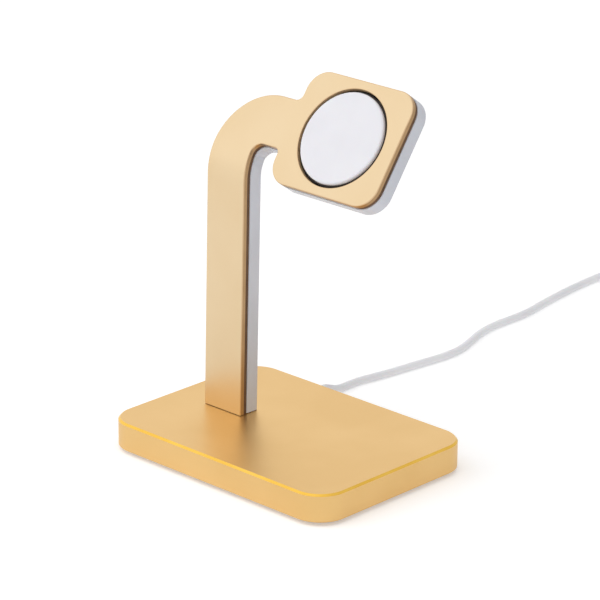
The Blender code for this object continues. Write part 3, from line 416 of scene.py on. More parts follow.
# Hard gold on the plug's contacts, worn brighter where the socket rubs them.
CONTACT_GOLD = Finish(
    "gold-plated contact spring", "#E8C06A", "#D3A54C", 0.24, metallic=1.0,
    grain=0.25, depth=0.001, uneven=0.08, patch=1.5, along=(1.0, 10.0, 1.0), specks=0.3,
)
# Sintered ferrite: a dull dark ceramic with visible grains.
FERRITE = Finish(
    "sintered ferrite ceramic", "#34343A", "#232328", 0.68, ior=2.2,
    grain=0.5, depth=0.02, uneven=0.1, patch=3.0, specks=0.5,
)
# Copper tracks raised under green solder mask.
BOARD_GREEN = BoardFinish(
    "solder-masked circuit board", "#1D5B38", "#2F7F4C", 0.38, ior=1.55,
    grain=2.4, depth=0.03, uneven=0.06, patch=6.0, specks=0.6, coat=0.3,
)


class Work:
    """A mesh on the bench: it starts as a primitive and is shaped in edit mode."""

    def __init__(self, name: str) -> None:
        """Takes the primitive that has just been added.

        Args:
            name: Name of the piece.
        """
        self.body = bpy.context.active_object
        self.body.name = self.body.data.name = name
        bpy.ops.object.transform_apply(location=True, rotation=True, scale=True)

    @staticmethod
    def clear() -> None:
        """Leaves edit mode and deselects everything."""
        active = bpy.context.view_layer.objects.active
        if active and active.mode != "OBJECT":
            bpy.ops.object.mode_set(mode="OBJECT")
        bpy.ops.object.select_all(action="DESELECT")

    @classmethod
    def block(cls, name: str, x: Span, y: Span, z: Span) -> "Work":
        """Starts from a cube that fills a space.

        Args:
            name: Name of the piece.
            x: Lowest and highest X.
            y: Lowest and highest Y.
            z: Lowest and highest Z.

        Returns:
            The piece.
        """
        cls.clear()
        centre = [sum(span) / 2 for span in (x, y, z)]
        size = [span[1] - span[0] for span in (x, y, z)]
        bpy.ops.mesh.primitive_cube_add(size=1.0, location=centre, scale=size)
        return cls(name)

    @classmethod
    def sheet(cls, name: str, x: Span, y: Span, z: float) -> "Work":
        """Starts from a plane of the given width and length.

        Args:
            name: Name of the piece.
            x: Lowest and highest X.
            y: Lowest and highest Y.
            z: Height of the plane.

        Returns:
            The piece.
        """
        cls.clear()
        centre = (sum(x) / 2, sum(y) / 2, z)
        bpy.ops.mesh.primitive_plane_add(size=1.0, location=centre)
        piece = cls(name).pick_all(Kind.CORNERS)
        bpy.ops.transform.resize(value=(x[1] - x[0], y[1] - y[0], 1), center_override=centre)
        return piece

    @classmethod
    def round(
        cls, name: str, start: Point, end: Point, radius: float, sides: int,
        end_radius: float | None = None,
    ) -> "Work":
        """Starts from a cylinder or a cone between two points.

        Args:
            name: Name of the piece.
            start: Middle of one end.
            end: Middle of the other end.
            radius: Radius at the start.
            sides: Number of sides.
            end_radius: Radius at the end, if it differs.

        Returns:
            The piece.
        """
        cls.clear()
        way = Vector(end) - Vector(start)
        turn = way.to_track_quat("Z", "Y").to_euler()
        bpy.ops.mesh.primitive_cone_add(
            vertices=sides, radius1=radius, radius2=end_radius or radius, depth=way.length,
            location=(Vector(start) + Vector(end)) / 2, rotation=turn,
        )
        return cls(name)

    def edit(self) -> None:
        """Goes into edit mode on this piece alone."""
        active = bpy.context.view_layer.objects.active
        if active is self.body and self.body.mode == "EDIT":
            return
        self.clear()
        self.body.select_set(True)
        bpy.context.view_layer.objects.active = self.body
        bpy.ops.object.mode_set(mode="EDIT")

    def select(self) -> None:
        """Selects this piece alone, in object mode."""
        self.clear()
        self.body.select_set(True)
        bpy.context.view_layer.objects.active = self.body

    def pick(self, kind: Kind, test: Test) -> "Work":
        """Picks what passes a test and nothing else.

        Args:
            kind: Corners, edges or faces.
            test: Takes one of them and says whether it is picked.

        Returns:
            This piece.

        Raises:
            ValueError: Nothing passes the test.
        """
        self.edit()
        bpy.context.tool_settings.mesh_select_mode = kind.value
        bpy.ops.mesh.select_all(action="DESELECT")
        mesh = bmesh.from_edit_mesh(self.body.data)
        mesh.normal_update()
        choice = {Kind.CORNERS: mesh.verts, Kind.EDGES: mesh.edges, Kind.FACES: mesh.faces}
        picked = [item for item in choice[kind] if test(item)]
        if not picked:
            raise ValueError(f"{self.body.name}: nothing there to pick")
        for item in picked:
            item.select_set(True)
        mesh.select_flush_mode()
        bmesh.update_edit_mesh(self.body.data)
        return self

    def pick_all(self, kind: Kind) -> "Work":
        """Picks all corners, edges or faces."""
        return self.pick(kind, lambda item: True)

    def pick_at(self, kind: Kind, axis: Axis, *values: float) -> "Work":
        """Picks what lies whole at one of some values on an axis."""
        return self.pick(kind, lambda item: any(level(item, axis, value) for value in values))

    def pick_along(self, axis: Axis) -> "Work":
        """Picks the edges that run along an axis."""
        return self.pick(Kind.EDGES, lambda edge: runs_along(edge, axis))

    def extrude(self, by: Point) -> "Work":
        """Pulls out what is picked.

        Args:
            by: How far, along X, Y and Z.

        Returns:
            This piece.
        """
        bpy.ops.mesh.extrude_region()
        bpy.ops.transform.translate(value=by)
        return self

    def inset(self, by: float) -> "Work":
        """Draws the picked faces in from their edges."""
        bpy.ops.mesh.inset(thickness=by, use_even_offset=True)
        return self

    def bevel(
        self, size: float, steps: int = 1, corners: bool = False, finish: Finish | None = None,
    ) -> "Work":
        """Rounds or chamfers what is picked.

        Args:
            size: Radius, or width of the chamfer on each face.
            steps: Number of faces across it; 1 makes a flat chamfer.
            corners: True to round the picked corners of a flat outline.
            finish: Finish of the new faces, if it isn't their neighbours' own.

        Returns:
            This piece.
        """
        affect = "VERTICES" if corners else "EDGES"
        place = -1 if finish is None else self.place(finish)
        bpy.ops.mesh.bevel(
            offset_type="OFFSET", offset=size, segments=steps, profile=0.5, affect=affect,
            clamp_overlap=False, material=place,
        )
        return self

    def bisect(self, place: Point, normal: Point, drop_below: bool = False) -> "Work":
        """Cuts what is picked along a plane.

        Args:
            place: A point on the plane.
            normal: Direction in which the plane looks.
            drop_below: True to take away what lies behind the plane and close the cut.

        Returns:
            This piece.
        """
        bpy.ops.mesh.bisect(
            plane_co=place, plane_no=normal, threshold=1e-7,
            clear_inner=drop_below, use_fill=drop_below,
        )
        return self

    def move(self, by: Point) -> "Work":
        """Moves what is picked."""
        bpy.ops.transform.translate(value=by)
        return self

    def turn(self, angle: float, centre: Point, axis: Axis = Axis.X) -> "Work":
        """Turns what is picked, right-handed, about a line along an axis.

        Args:
            angle: How far, in radians. Without a window the operator turns the other way.
            centre: A point on the line.
            axis: Direction of the line.

        Returns:
            This piece.
        """
        bpy.ops.transform.rotate(value=-angle, orient_axis=axis.name, center_override=centre)
        return self

    def hollow(self, axis: Axis, ends: Span, wall: float) -> "Work":
        """Opens a block into a tube.

        Args:
            axis: Direction of the tube.
            ends: Where it ends on that axis.
            wall: Thickness of its wall.

        Returns:
            This piece.
        """
        self.pick_at(Kind.FACES, axis, *ends).inset(wall)
        bpy.ops.mesh.bridge_edge_loops()
        return self.outwards()

    def one_face(self) -> "Work":
        """Melts flat neighbours into one face, and takes out the corners on its straight edges.

        Returns:
            This piece.
        """
        self.pick_all(Kind.FACES)
        bpy.ops.mesh.dissolve_faces()
        self.pick(Kind.CORNERS, straight)
        bpy.ops.mesh.dissolve_verts()
        return self

    def outwards(self) -> "Work":
        """Makes all faces look outwards.

        Returns:
            This piece.
        """
        self.pick_all(Kind.FACES)
        bpy.ops.mesh.normals_make_consistent(inside=False)
        return self

    def shape(self, operation: Boolean, *tools: "Work") -> "Work":
        """Joins other pieces on or cuts them out, one by one, and takes them away.

        Args:
            operation: What they do to this piece.
            tools: The other pieces.

        Returns:
            This piece.
        """
        for tool in tools:
            self.select()
            bpy.ops.object.modifier_add(type="BOOLEAN")
            step = self.body.modifiers[-1]
            step.operation, step.solver, step.object = operation.value, "EXACT", tool.body
            bpy.ops.object.modifier_apply(modifier=step.name)
            bpy.data.objects.remove(tool.body, do_unlink=True)
        return self

    def cut(self, *tools: "Work") -> "Work":
        """Cuts each of the other pieces out."""
        return self.shape(Boolean.REMOVE, *tools)

    def join(self, *tools: "Work") -> "Work":
        """Joins each of the other pieces on."""
        return self.shape(Boolean.ADD, *tools)

    def paint(self, finish: Finish, test: Test) -> "Work":
        """Gives picked faces another finish.

        Args:
            finish: One of the piece's finishes.
            test: Takes a face and says whether it is picked.

        Returns:
            This piece.
        """
        self.pick(Kind.FACES, test)
        self.body.active_material_index = self.place(finish)
        bpy.ops.object.material_slot_assign()
        return self

    def dress(self, *finishes: Finish) -> "Work":
        """Lists the piece's finishes; its faces start with the first.

        Args:
            finishes: The finishes.

        Returns:
            This piece.
        """
        self.clear()
        self.body.data.materials.clear()
        for finish in finishes:
            self.body.data.materials.append(finish.make())
        return self

    def place(self, finish: Finish) -> int:
        """Gives the place of a finish in the piece's list."""
        return self.body.data.materials.find(finish.name)

    def done(self, slot: Slot, *nodes: str, angle: float = 40.0) -> bpy.types.Object:
        """Shades the piece, fixes it to the dock and lets it stand for its solids.

        Args:
            slot: Slot of the record that its finish comes from; not used.
            nodes: Solids that it stands for.
            angle: Edges sharper than this, in degrees, stay sharp.

        Returns:
            The piece's object.
        """
        self.select()
        bpy.ops.object.shade_smooth_by_angle(angle=math.radians(angle))
        bpy.ops.object.modifier_add(type="WEIGHTED_NORMAL")
        step = self.body.modifiers[-1]
        step.keep_sharp = True
        bpy.ops.object.modifier_apply(modifier=step.name)
        self.clear()
        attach(self.body, BODY)
        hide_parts(*nodes)
        return self.body


def level(item: Part, axis: Axis, value: float) -> bool:
    """Says whether a corner, or each corner of an edge or face, lies at a value on an axis."""
    corners = [item] if isinstance(item, bmesh.types.BMVert) else item.verts
    return all(abs(corner.co[axis.value] - value) < NEAR for corner in corners)


def middle(item: Part) -> Vector:
    """Gives the middle of an edge or face."""
    return sum((corner.co for corner in item.verts), Vector()) / len(item.verts)


def straight(corner: bmesh.types.BMVert) -> bool:
    """Says whether the two edges at a corner run on in one line."""
    ways = [(edge.other_vert(corner).co - corner.co).normalized() for edge in corner.link_edges]
    return len(ways) == 2 and ways[0].dot(ways[1]) < -SAME_WAY


def runs_along(edge: bmesh.types.BMEdge, axis: Axis) -> bool:
    """Says whether an edge runs along an axis."""
    way = edge.verts[1].co - edge.verts[0].co
    return abs(way[axis.value]) > SAME_WAY * way.length


def creased(edge: bmesh.types.BMEdge) -> bool:
    """Says whether the faces at an edge meet at more than 60 degrees."""
    return len(edge.link_faces) == 2 and edge.calc_face_angle(0.0) > math.radians(60)


def on_side(face: bmesh.types.BMFace) -> bool:
    """Says whether a face of a flat piece looks to the side rather than to front or back."""
    return abs(face.normal.z) < 0.5


class Assembly:
    """A sub-assembly of the dock."""

    title = "assembly"

    def build(self) -> list[bpy.types.Object]:
        """Makes and dresses its pieces."""
        raise NotImplementedError

    def report(self) -> list[bpy.types.Object]:
        """Builds the sub-assembly and logs each piece.

        Returns:
            Its pieces.
        """
        pieces = self.build()
        for piece in pieces:
            log.info("%s: %s made", self.title, piece.name)
        return pieces


@dataclass
class Base(Assembly):
    """The milled base block and the rubber foot under it.

    Attributes:
        length: Long edge.
        width: Short edge.
        bottom: Height of the block's underside.
        top: Height of its top face.
        roof: Height of the pocket's roof.
        corner: Radius of its upright corners.
        corner_steps: Number of faces round a corner.
        chamfer: Width of the bright cut along the top edge.
        low_chamfer: Width of the cut along the lower edge.
        wall: Thickness of the wall round the pocket.
        foot: Thickness of the rubber foot.
        foot_inset: How far the foot's edge stays in from the block's.
        foot_steps: Number of faces round the foot's corners.
        foot_edge: Radius of its lower edge.
        post_x: Middle of the post, where the lead and its screws go through.
        post_y: Front of the post's foot.
        lean: How far the post leans back, in radians.
        boss: Radius of a screw boss.
        hole: Radius of a screw hole.
        hole_sides: Number of sides of bosses and holes.
        cover_screws: Places of the cover's screws, across and deep from the middle.
        cover_boss: Height of the cover's bosses over the ground.
        clamp_screws: Places of the clamp's screws, across from the post and deep.
        clamp_boss: Height of the clamp's bosses over the ground.
        post_screws: Places of the post's screws, across from the post and deep from its front.
        stop_x: Ends of the ballast's stop along X.
        stop_y: Ends of the stop along Y.
        stop_z: Lower edge of the stop.
        lead: Half the width of the lead's slot.
        slot_y: Front and back of the slot, from the post's front.
        slope: How far the slot's lower edge runs on to the back.
        exit_height: Height of the lead's way out.
        notch: Radius of the notch for the rubber bush.
        arch_steps: Number of faces across a quarter of an arch.
    """

    title = "base"
    length: float = 0.0830
    width: float = 0.0597
    bottom: float = 0.0011
    top: float = 0.0092
    roof: float = 0.0066
    corner: float = 0.0086
    corner_steps: int = 24
    chamfer: float = 0.0006
    low_chamfer: float = 0.0002
    wall: float = 0.0035
    foot: float = 0.0008
    foot_inset: float = 0.0025
    foot_steps: int = 16
    foot_edge: float = 0.00015
    post_x: float = -0.02165
    post_y: float = -0.0036
    lean: float = math.radians(1.3)
    boss: float = 0.0026
    hole: float = 0.0013
    hole_sides: int = 24
    cover_screws: Span = (0.0335, 0.02185)
    cover_boss: float = 0.0026
    clamp_screws: Span = (0.0040, 0.0140)
    clamp_boss: float = 0.0066
    post_screws: Span = (0.0036, 0.0041)
    stop_x: Span = (-0.0098, -0.0083)
    stop_y: Span = (-0.0150, 0.0150)
    stop_z: float = 0.0036
    lead: float = 0.0015
    slot_y: Span = (0.0031, 0.0061)
    slope: float = 0.0024
    exit_height: float = 0.0039
    notch: float = 0.0026
    arch_steps: int = 10

    def build(self) -> list[bpy.types.Object]:
        """Makes the block and its foot."""
        return [self.block(), self.foot_pad()]

    def block(self) -> bpy.types.Object:
        """Mills the block: round corners, bright-cut top edge, pocket, bosses, holes and ways.

        Returns:
            The block.
        """
        x, y = self.length / 2, self.width / 2
        piece = Work.block("milled_base", (-x, x), (-y, y), (self.bottom, self.top))
        piece.dress(SATIN_GOLD, BRIGHT_CUT, MILLED_GOLD)
        piece.pick_along(Axis.Z).bevel(self.corner, self.corner_steps)
        piece.pick_at(Kind.EDGES, Axis.Z, self.top).bevel(self.chamfer, finish=BRIGHT_CUT)
        piece.pick_at(Kind.EDGES, Axis.Z, self.bottom).bevel(self.low_chamfer)
        piece.pick_at(Kind.FACES, Axis.Z, self.bottom).inset(self.wall - self.low_chamfer)
        piece.extrude((0, 0, self.roof - self.bottom))
        piece.paint(MILLED_GOLD, self.in_pocket)
        self.add_bosses(piece)
        self.add_ways(piece)
        return piece.done(Slot.GOLD, "base_block", angle=30.0)

    def in_pocket(self, face: bmesh.types.BMFace) -> bool:
        """Says whether a face belongs to the pocket.

        Args:
            face: A face of the block.

        Returns:
            True for the pocket's walls and its roof.
        """
        place, reach = middle(face), NEAR - self.wall
        within = abs(place.x) < self.length / 2 + reach and abs(place.y) < self.width / 2 + reach
        return within and self.bottom + NEAR < place.z < self.roof + NEAR

    def add_bosses(self, piece: Work) -> None:
        """Adds the bosses of the cover's and the clamp's screws, and the stop for the ballast.

        Args:
            piece: The block.
        """
        # The bosses are rooted in the solid over the pocket, and their holes go deeper into it.
        root = self.roof + self.hole / 2
        across, deep = self.cover_screws
        places = [(x, y, self.cover_boss) for x in (-across, across) for y in (-deep, deep)]
        across, deep = self.clamp_screws
        places += [(self.post_x + side * across, deep, self.clamp_boss) for side in (-1, 1)]
        for x, y, low in places:
            if low < self.roof - GAP:
                start, end = (x, y, low), (x, y, root)
                piece.join(Work.round("boss", start, end, self.boss, self.hole_sides))
            start, end = (x, y, low - GAP), (x, y, self.roof + self.hole)
            piece.cut(Work.round("hole", start, end, self.hole, self.hole_sides))
        piece.join(Work.block("stop", self.stop_x, self.stop_y, (self.stop_z, root)))

    def add_ways(self, piece: Work) -> None:
        """Cuts the post's screw holes, the lead's slot and the notch for the rubber bush.

        Args:
            piece: The block.
        """
        across, deep = self.post_screws
        way = Vector((0, math.sin(self.lean), math.cos(self.lean)))
        for side in (-1, 1):
            y = self.post_y + deep / math.cos(self.lean)
            top = Vector((self.post_x + side * across, y, self.top))
            low, high = top - way * (self.top - self.roof + 2 * GAP), top + way * 2 * GAP
            piece.cut(Work.round("hole", low, high, self.hole, self.hole_sides))
        x = (self.post_x - self.lead, self.post_x + self.lead)
        y = (self.post_y + self.slot_y[0], self.post_y + self.slot_y[1])
        low = self.roof - GAP
        slot = Work.block("lead_slot", x, y, (low, self.top + GAP))
        slot.pick(Kind.EDGES, lambda edge: level(edge, Axis.Y, y[1]) and level(edge, Axis.Z, low))
        piece.cut(slot.move((0, self.slope, 0)))
        wall = (self.width / 2 - self.wall - GAP, self.width / 2 + GAP)
        piece.cut(self.arch("notch", self.notch, wall, self.bottom - GAP))

    def arch(self, name: str, radius: float, y: Span, low: float) -> Work:
        """Makes a body with straight sides and a round top about the lead's way out.

        Args:
            name: Name of the body.
            radius: Half its width.
            y: Its ends.
            low: Its lower edge.

        Returns:
            The body.
        """
        high = self.exit_height + radius
        body = Work.block(name, (self.post_x - radius, self.post_x + radius), y, (low, high))
        body.pick(Kind.EDGES, lambda edge: level(edge, Axis.Z, high) and runs_along(edge, Axis.Y))
        # A little less than the whole radius, so that the two roundings don't meet in one corner.
        return body.bevel(radius * 0.999, self.arch_steps)

    def foot_pad(self) -> bpy.types.Object:
        """Cuts the rubber foot, with its lower edge a little rounded from the cutter.

        Returns:
            The foot.
        """
        x, y = self.length / 2 - self.foot_inset, self.width / 2 - self.foot_inset
        piece = Work.block("rubber_foot", (-x, x), (-y, y), (0.0, self.foot))
        piece.pick_along(Axis.Z).bevel(self.corner - self.foot_inset, self.foot_steps)
        piece.pick_at(Kind.EDGES, Axis.Z, 0.0).bevel(self.foot_edge, EASED)
        return piece.dress(RUBBER_BLACK).done(Slot.RUBBER, "foot_pad")


@dataclass
class Arm(Assembly):
    """The bent arm: front sheet, bonding tape and moulded rear shell, all of one outline.

    Attributes:
        base: The base that it stands on.
        foot: Height at which the post's sheet and tape start.
        shell_foot: Height at which its shell starts, which leaves a fine dark line under it.
        spare: Length that the shell is moulded longer at its foot, and that is cut off again.
        left: Left edge of the post.
        right: Right edge of the post, where the slot for the strap starts.
        slot_top: Top of the slot.
        arm_top: Top of the arm.
        head_left: Left edge of the head.
        head_right: Right edge of the head.
        head_bottom: Lower edge of the head.
        head_top: Upper edge of the head.
        hole: Middle of the hole for the puck, across and up.
        hole_radius: Its radius.
        hole_sides: Number of its sides.
        bend_start: Height on the sheet where the bend starts.
        bend_radius: Radius of the front face in the bend.
        head_lean: How far the head leans back, in radians.
        steps: Number of flats in the bend.
        elbow: Radius of the outer corner between post and arm.
        corner: Radius of the head's corners.
        throat: Radius in the inner corner between post and arm.
        neck_under: Radius where the head starts, under the arm.
        neck_over: Radius where the head starts, over the arm.
        corner_steps: Number of flats round each of these corners.
        sheet: Thickness of the front sheet.
        sheet_edge: Radius of its eased front edge.
        tape: Depth of the tape's front and back.
        tape_inset: How far the tape's edge stays in.
        shell: Depth of the shell's front and back.
        shell_wall: Thickness of the shell.
        shell_edge: Radius of its back edges.
        shell_steps: Number of faces across a back edge.
        ribs: Height of the ribs' start, and their pitch.
        rib_count: Number of pairs of ribs.
        rib: Thickness of a rib.
        rib_across: Near and far end of a rib from the post's middle.
        rib_below: How far ribs and seat stay below the shell's front.
        rib_root: How far they reach into its wall from its back, as a share of the wall.
        seat_ring: Inner and outer radius of the puck's seat.
        web: Near and far end of the seat's webs from its middle.
        lead: Half the width of the lead's way into the seat.
        lead_floor: How far that way stays above the seat's root.
    """

    title = "arm"
    base: Base
    foot: float = 0.00015
    shell_foot: float = 0.0003
    spare: float = 0.0030
    left: float = -0.0287
    right: float = -0.0146
    slot_top: float = 0.080049
    arm_top: float = 0.094449
    head_left: float = -0.0054
    head_right: float = 0.0325
    head_bottom: float = 0.070849
    head_top: float = 0.104449
    hole: Span = (0.01355, 0.087649)
    hole_radius: float = 0.01425
    hole_sides: int = 128
    bend_start: float = 0.0681
    bend_radius: float = 0.0165
    head_lean: float = math.radians(35.5)
    steps: int = 16
    elbow: float = 0.0170
    corner: float = 0.0063
    throat: float = 0.0032
    neck_under: float = 0.0016
    neck_over: float = 0.0020
    corner_steps: int = 20
    sheet: float = 0.00135
    sheet_edge: float = 0.00025
    tape: Span = (0.0014, 0.00255)
    tape_inset: float = 0.00025
    shell: Span = (0.0026, 0.0073)
    shell_wall: float = 0.0010
    shell_edge: float = 0.0012
    shell_steps: int = 6
    ribs: Span = (0.0120, 0.0170)
    rib_count: int = 3
    rib: float = 0.0009
    rib_across: Span = (0.0015, 0.00655)
    rib_below: float = 0.0002
    rib_root: float = 0.75
    seat_ring: Span = (0.0157, 0.0166)
    web: Span = (0.01615, 0.02217)
    lead: float = 0.0015
    lead_floor: float = 0.0004

    def build(self) -> list[bpy.types.Object]:
        """Makes the three layers."""
        return [self.front_plate(), self.bonding_tape(), self.rear_shell()]

    @property
    def bend_end(self) -> float:
        """Height on the sheet where the bend ends."""
        return self.bend_start + self.bend_radius * (self.head_lean - self.base.lean)

    @property
    def rib_deep(self) -> Span:
        """Depth of the ribs' and the seat's front and root."""
        return (self.shell[0] + self.rib_below, self.shell[1] - self.rib_root * self.shell_wall)

    def blank(self, name: str, inset: float, foot: float, deep: float) -> Work:
        """Draws the outline of post, arm and head as one flat face and rounds its corners.

        Args:
            name: Name of the piece.
            inset: How far the outline is drawn in.
            foot: Height at which the post starts.
            deep: Depth of the face behind the front.

        Returns:
            The flat piece.
        """
        left, right = self.left + inset, self.right - inset
        slot, top = self.slot_top + inset, self.arm_top - inset
        head_left, head_right = self.head_left + inset, self.head_right - inset
        low, high = self.head_bottom + inset, self.head_top - inset
        piece = Work.sheet(name, (left, right), (foot, slot), -deep)
        piece.pick_at(Kind.EDGES, Axis.Y, slot).extrude((0, top - slot, 0))
        piece.pick(Kind.EDGES, lambda edge: level(edge, Axis.X, right) and middle(edge).y > slot)
        piece.extrude((head_left - right, 0, 0))
        piece.pick_at(Kind.EDGES, Axis.X, head_left).extrude((head_right - head_left, 0, 0))
        # Of two edges at one height, the head's own has its middle beyond this.
        head = (head_left + head_right) / 2 - MM
        for near, far in ((top, high), (slot, low)):
            piece.pick(Kind.EDGES, lambda edge: level(edge, Axis.Y, near) and middle(edge).x > head)
            piece.extrude((0, far - near, 0))
        piece.one_face()
        hollow = [
            (right, slot, self.throat), (head_left, slot, self.neck_under),
            (head_left, top, self.neck_over),
        ]
        full = [(x, y, self.corner) for x in (head_left, head_right) for y in (low, high)]
        full.append((left, top, self.elbow))
        rounds = [(x, y, radius + inset) for x, y, radius in hollow]
        rounds += [(x, y, radius - inset) for x, y, radius in full]
        for x, y, radius in rounds:
            piece.pick(Kind.CORNERS, lambda corner: math.dist(corner.co.xy, (x, y)) < NEAR)
            piece.bevel(radius, self.corner_steps, corners=True)
        return piece.pick_all(Kind.FACES)

    def disc(self, name: str, radius: float, front: float, back: float) -> Work:
        """Makes a round body about the middle of the hole.

        Args:
            name: Name of the body.
            radius: Its radius.
            front: Depth of its front end.
            back: Depth of its back end.

        Returns:
            The body.
        """
        x, y = self.hole
        return Work.round(name, (x, y, -back), (x, y, -front), radius, self.hole_sides)

    def from_hole(self, item: Part) -> float:
        """Gives how far the middle of an edge or face lies from the hole's axis."""
        return math.dist(middle(item).xy, self.hole)

    def on_post(self, place: Vector) -> bool:
        """Says whether a place on the flat sheet lies to the left of the head."""
        return place.x < (self.right + self.head_left) / 2

    def fold(self, piece: Work) -> Work:
        """Bends the post down from the head, flat by flat, and stands the whole on the base.

        Args:
            piece: The flat piece.

        Returns:
            The bent piece, in its place.
        """
        end = self.bend_end
        turn = (self.head_lean - self.base.lean) / self.steps
        spacing = (end - self.bend_start) / self.steps
        stations = [end - spacing * step for step in range(self.steps + 1)]
        piece.pick_all(Kind.FACES).bisect((0, end, 0), (0, 1, 0))
        for up in stations[1:]:
            piece.pick(Kind.FACES, lambda face: self.on_post(middle(face)) and middle(face).y < end)
            piece.bisect((0, up, 0), (0, 1, 0))
        piece.select()
        flat = [corner.co.y for corner in piece.body.data.vertices]
        post = [self.on_post(corner.co) for corner in piece.body.data.vertices]
        pivot, turned = Vector((0, end, 0)), 0.0
        for index, up in enumerate(stations):
            part = turn / 2 if index in (0, self.steps) else turn
            on_fold = [own and abs(y - up) < NEAR for own, y in zip(post, flat)]
            piece.pick(Kind.CORNERS, lambda corner: on_fold[corner.index]).turn(part / 2, pivot)
            below = [own and y < up - NEAR for own, y in zip(post, flat)]
            piece.pick(Kind.CORNERS, lambda corner: below[corner.index]).turn(part, pivot)
            turned += part
            pivot += Vector((0, -math.cos(turned), -math.sin(turned))) * spacing
        return self.stand(piece)

    def stand(self, piece: Work) -> Work:
        """Leans a piece of the head back and lifts it to its place.

        Args:
            piece: The piece, with the head flat.

        Returns:
            The piece, in its place.
        """
        centre = Vector((0, self.bend_end, 0))
        lean, tilt = self.base.lean, self.head_lean
        y = self.base.post_y + self.bend_start * math.sin(lean)
        z = self.base.top + self.bend_start * math.cos(lean)
        y += self.bend_radius * (math.cos(lean) - math.cos(tilt))
        z += self.bend_radius * (math.sin(tilt) - math.sin(lean))
        piece.pick_all(Kind.CORNERS).turn(math.radians(90) - tilt, centre)
        return piece.move(Vector((0, y, z)) - centre)

    def front_plate(self) -> bpy.types.Object:
        """Cuts and bends the sheet, with its front edges eased.

        Returns:
            The sheet.
        """
        piece = self.blank("bent_front_sheet", 0.0, self.foot, self.sheet)
        piece.extrude((0, 0, self.sheet)).outwards()
        piece.dress(SHEET_GOLD, EASED_EDGE_PAINTED_SHADE, SAWN_EDGE_PAINTED_SHADE, BORED_EDGE)
        piece.cut(self.disc("hole", self.hole_radius, -MM, self.sheet + MM))
        # The side faces take a darker gold as painted shade; the hole's wall keeps the sheet's own
        # gold.
        piece.paint(SAWN_EDGE_PAINTED_SHADE, on_side).paint(BORED_EDGE, self.in_hole)
        # The eased front edge takes a darker gold as painted shade.
        piece.pick(Kind.EDGES, self.at_front).bevel(self.sheet_edge, EASED, finish=EASED_EDGE_PAINTED_SHADE)
        return self.fold(piece).done(Slot.GOLD, "front_plate", angle=35.0)

    def in_hole(self, face: bmesh.types.BMFace) -> bool:
        """Says whether a face of the flat sheet lies on the wall of the puck's hole."""
        return on_side(face) and self.from_hole(face) < self.hole_radius + NEAR

    def at_front(self, edge: bmesh.types.BMEdge) -> bool:
        """Says whether an edge lies round the flat sheet's front face, other than at the foot."""
        return level(edge, Axis.Z, 0.0) and creased(edge) and middle(edge).y > self.foot + NEAR

    def bonding_tape(self) -> bpy.types.Object:
        """Cuts and bends the tape that shows in the groove behind the sheet, dark as painted shade
        there.

        Returns:
            The tape.
        """
        front, back = self.tape
        piece = self.blank("foam_tape_line", self.tape_inset, self.foot, back)
        # The tape's dark brown is painted shade for the groove.
        piece.extrude((0, 0, back - front)).outwards().dress(FOAM_TAPE_GROOVE_SHADE)
        piece.cut(self.disc("hole", self.hole_radius + GAP, front - MM, back + MM))
        return self.fold(piece).done(Slot.TAPE, "bonding_tape", angle=35.0)

    def rear_shell(self) -> bpy.types.Object:
        """Moulds the rear shell: a tray with rounded back edges, with its ribs inside.

        Returns:
            The shell.
        """
        front, back = self.shell
        below = self.shell_foot - self.spare
        piece = self.blank("moulded_rear_shell", 0.0, below, back)
        piece.extrude((0, 0, back - front)).outwards().dress(MOULDED_WHITE)
        above = below + NEAR
        piece.pick(Kind.EDGES, lambda edge: level(edge, Axis.Z, -back) and middle(edge).y > above)
        piece.bevel(self.shell_edge, self.shell_steps)
        piece.pick_at(Kind.FACES, Axis.Z, -front).inset(self.shell_wall)
        piece.extrude((0, 0, front - (back - self.shell_wall))).pick_all(Kind.FACES)
        piece.bisect((0, self.shell_foot, 0), (0, 1, 0), drop_below=True)
        piece.join(*self.guide_ribs(), self.seat())
        return self.fold(piece).done(Slot.WHITE, "rear_shell", angle=35.0)

    def guide_ribs(self) -> list[Work]:
        """Makes the pairs of ribs that guide the lead down the post.

        Returns:
            The ribs.
        """
        rim, root = self.rib_deep
        across = (self.left + self.right) / 2
        near, far = self.rib_across
        start, pitch = self.ribs
        ribs = []
        for index in range(self.rib_count):
            up = start + pitch * (index + 0.5)
            y = (up - self.rib / 2, up + self.rib / 2)
            for x in ((across - far, across - near), (across + near, across + far)):
                ribs.append(Work.block("guide_rib", x, y, (-root, -rim)))
        return ribs

    def seat(self) -> Work:
        """Makes the round rib about the puck, with its corner ribs and the way for the lead.

        Returns:
            The seat.
        """
        x, y = self.hole
        rim, root = self.rib_deep
        inner, outer = self.seat_ring
        seat = self.disc("seat", outer, rim, root)
        seat.cut(self.disc("inside", inner, rim - MM, root + MM))
        slant = math.atan2(self.head_top - y, self.head_right - x)
        along, thick = (x + self.web[0], x + self.web[1]), (y - self.rib / 2, y + self.rib / 2)
        for angle in (slant, -slant, math.pi - slant, math.pi + slant):
            web = Work.block("web", along, thick, (-root, -rim - self.rib_below))
            web.pick_all(Kind.CORNERS).turn(angle, (x, y, 0), Axis.Z).clear()
            seat.join(web)
        up = (self.slot_top + self.arm_top) / 2
        through = (x - outer - 3 * GAP, x - inner + 3 * GAP)
        deep = (-root + self.lead_floor, -rim + GAP)
        return seat.cut(Work.block("way", through, (up - self.lead, up + self.lead), deep))


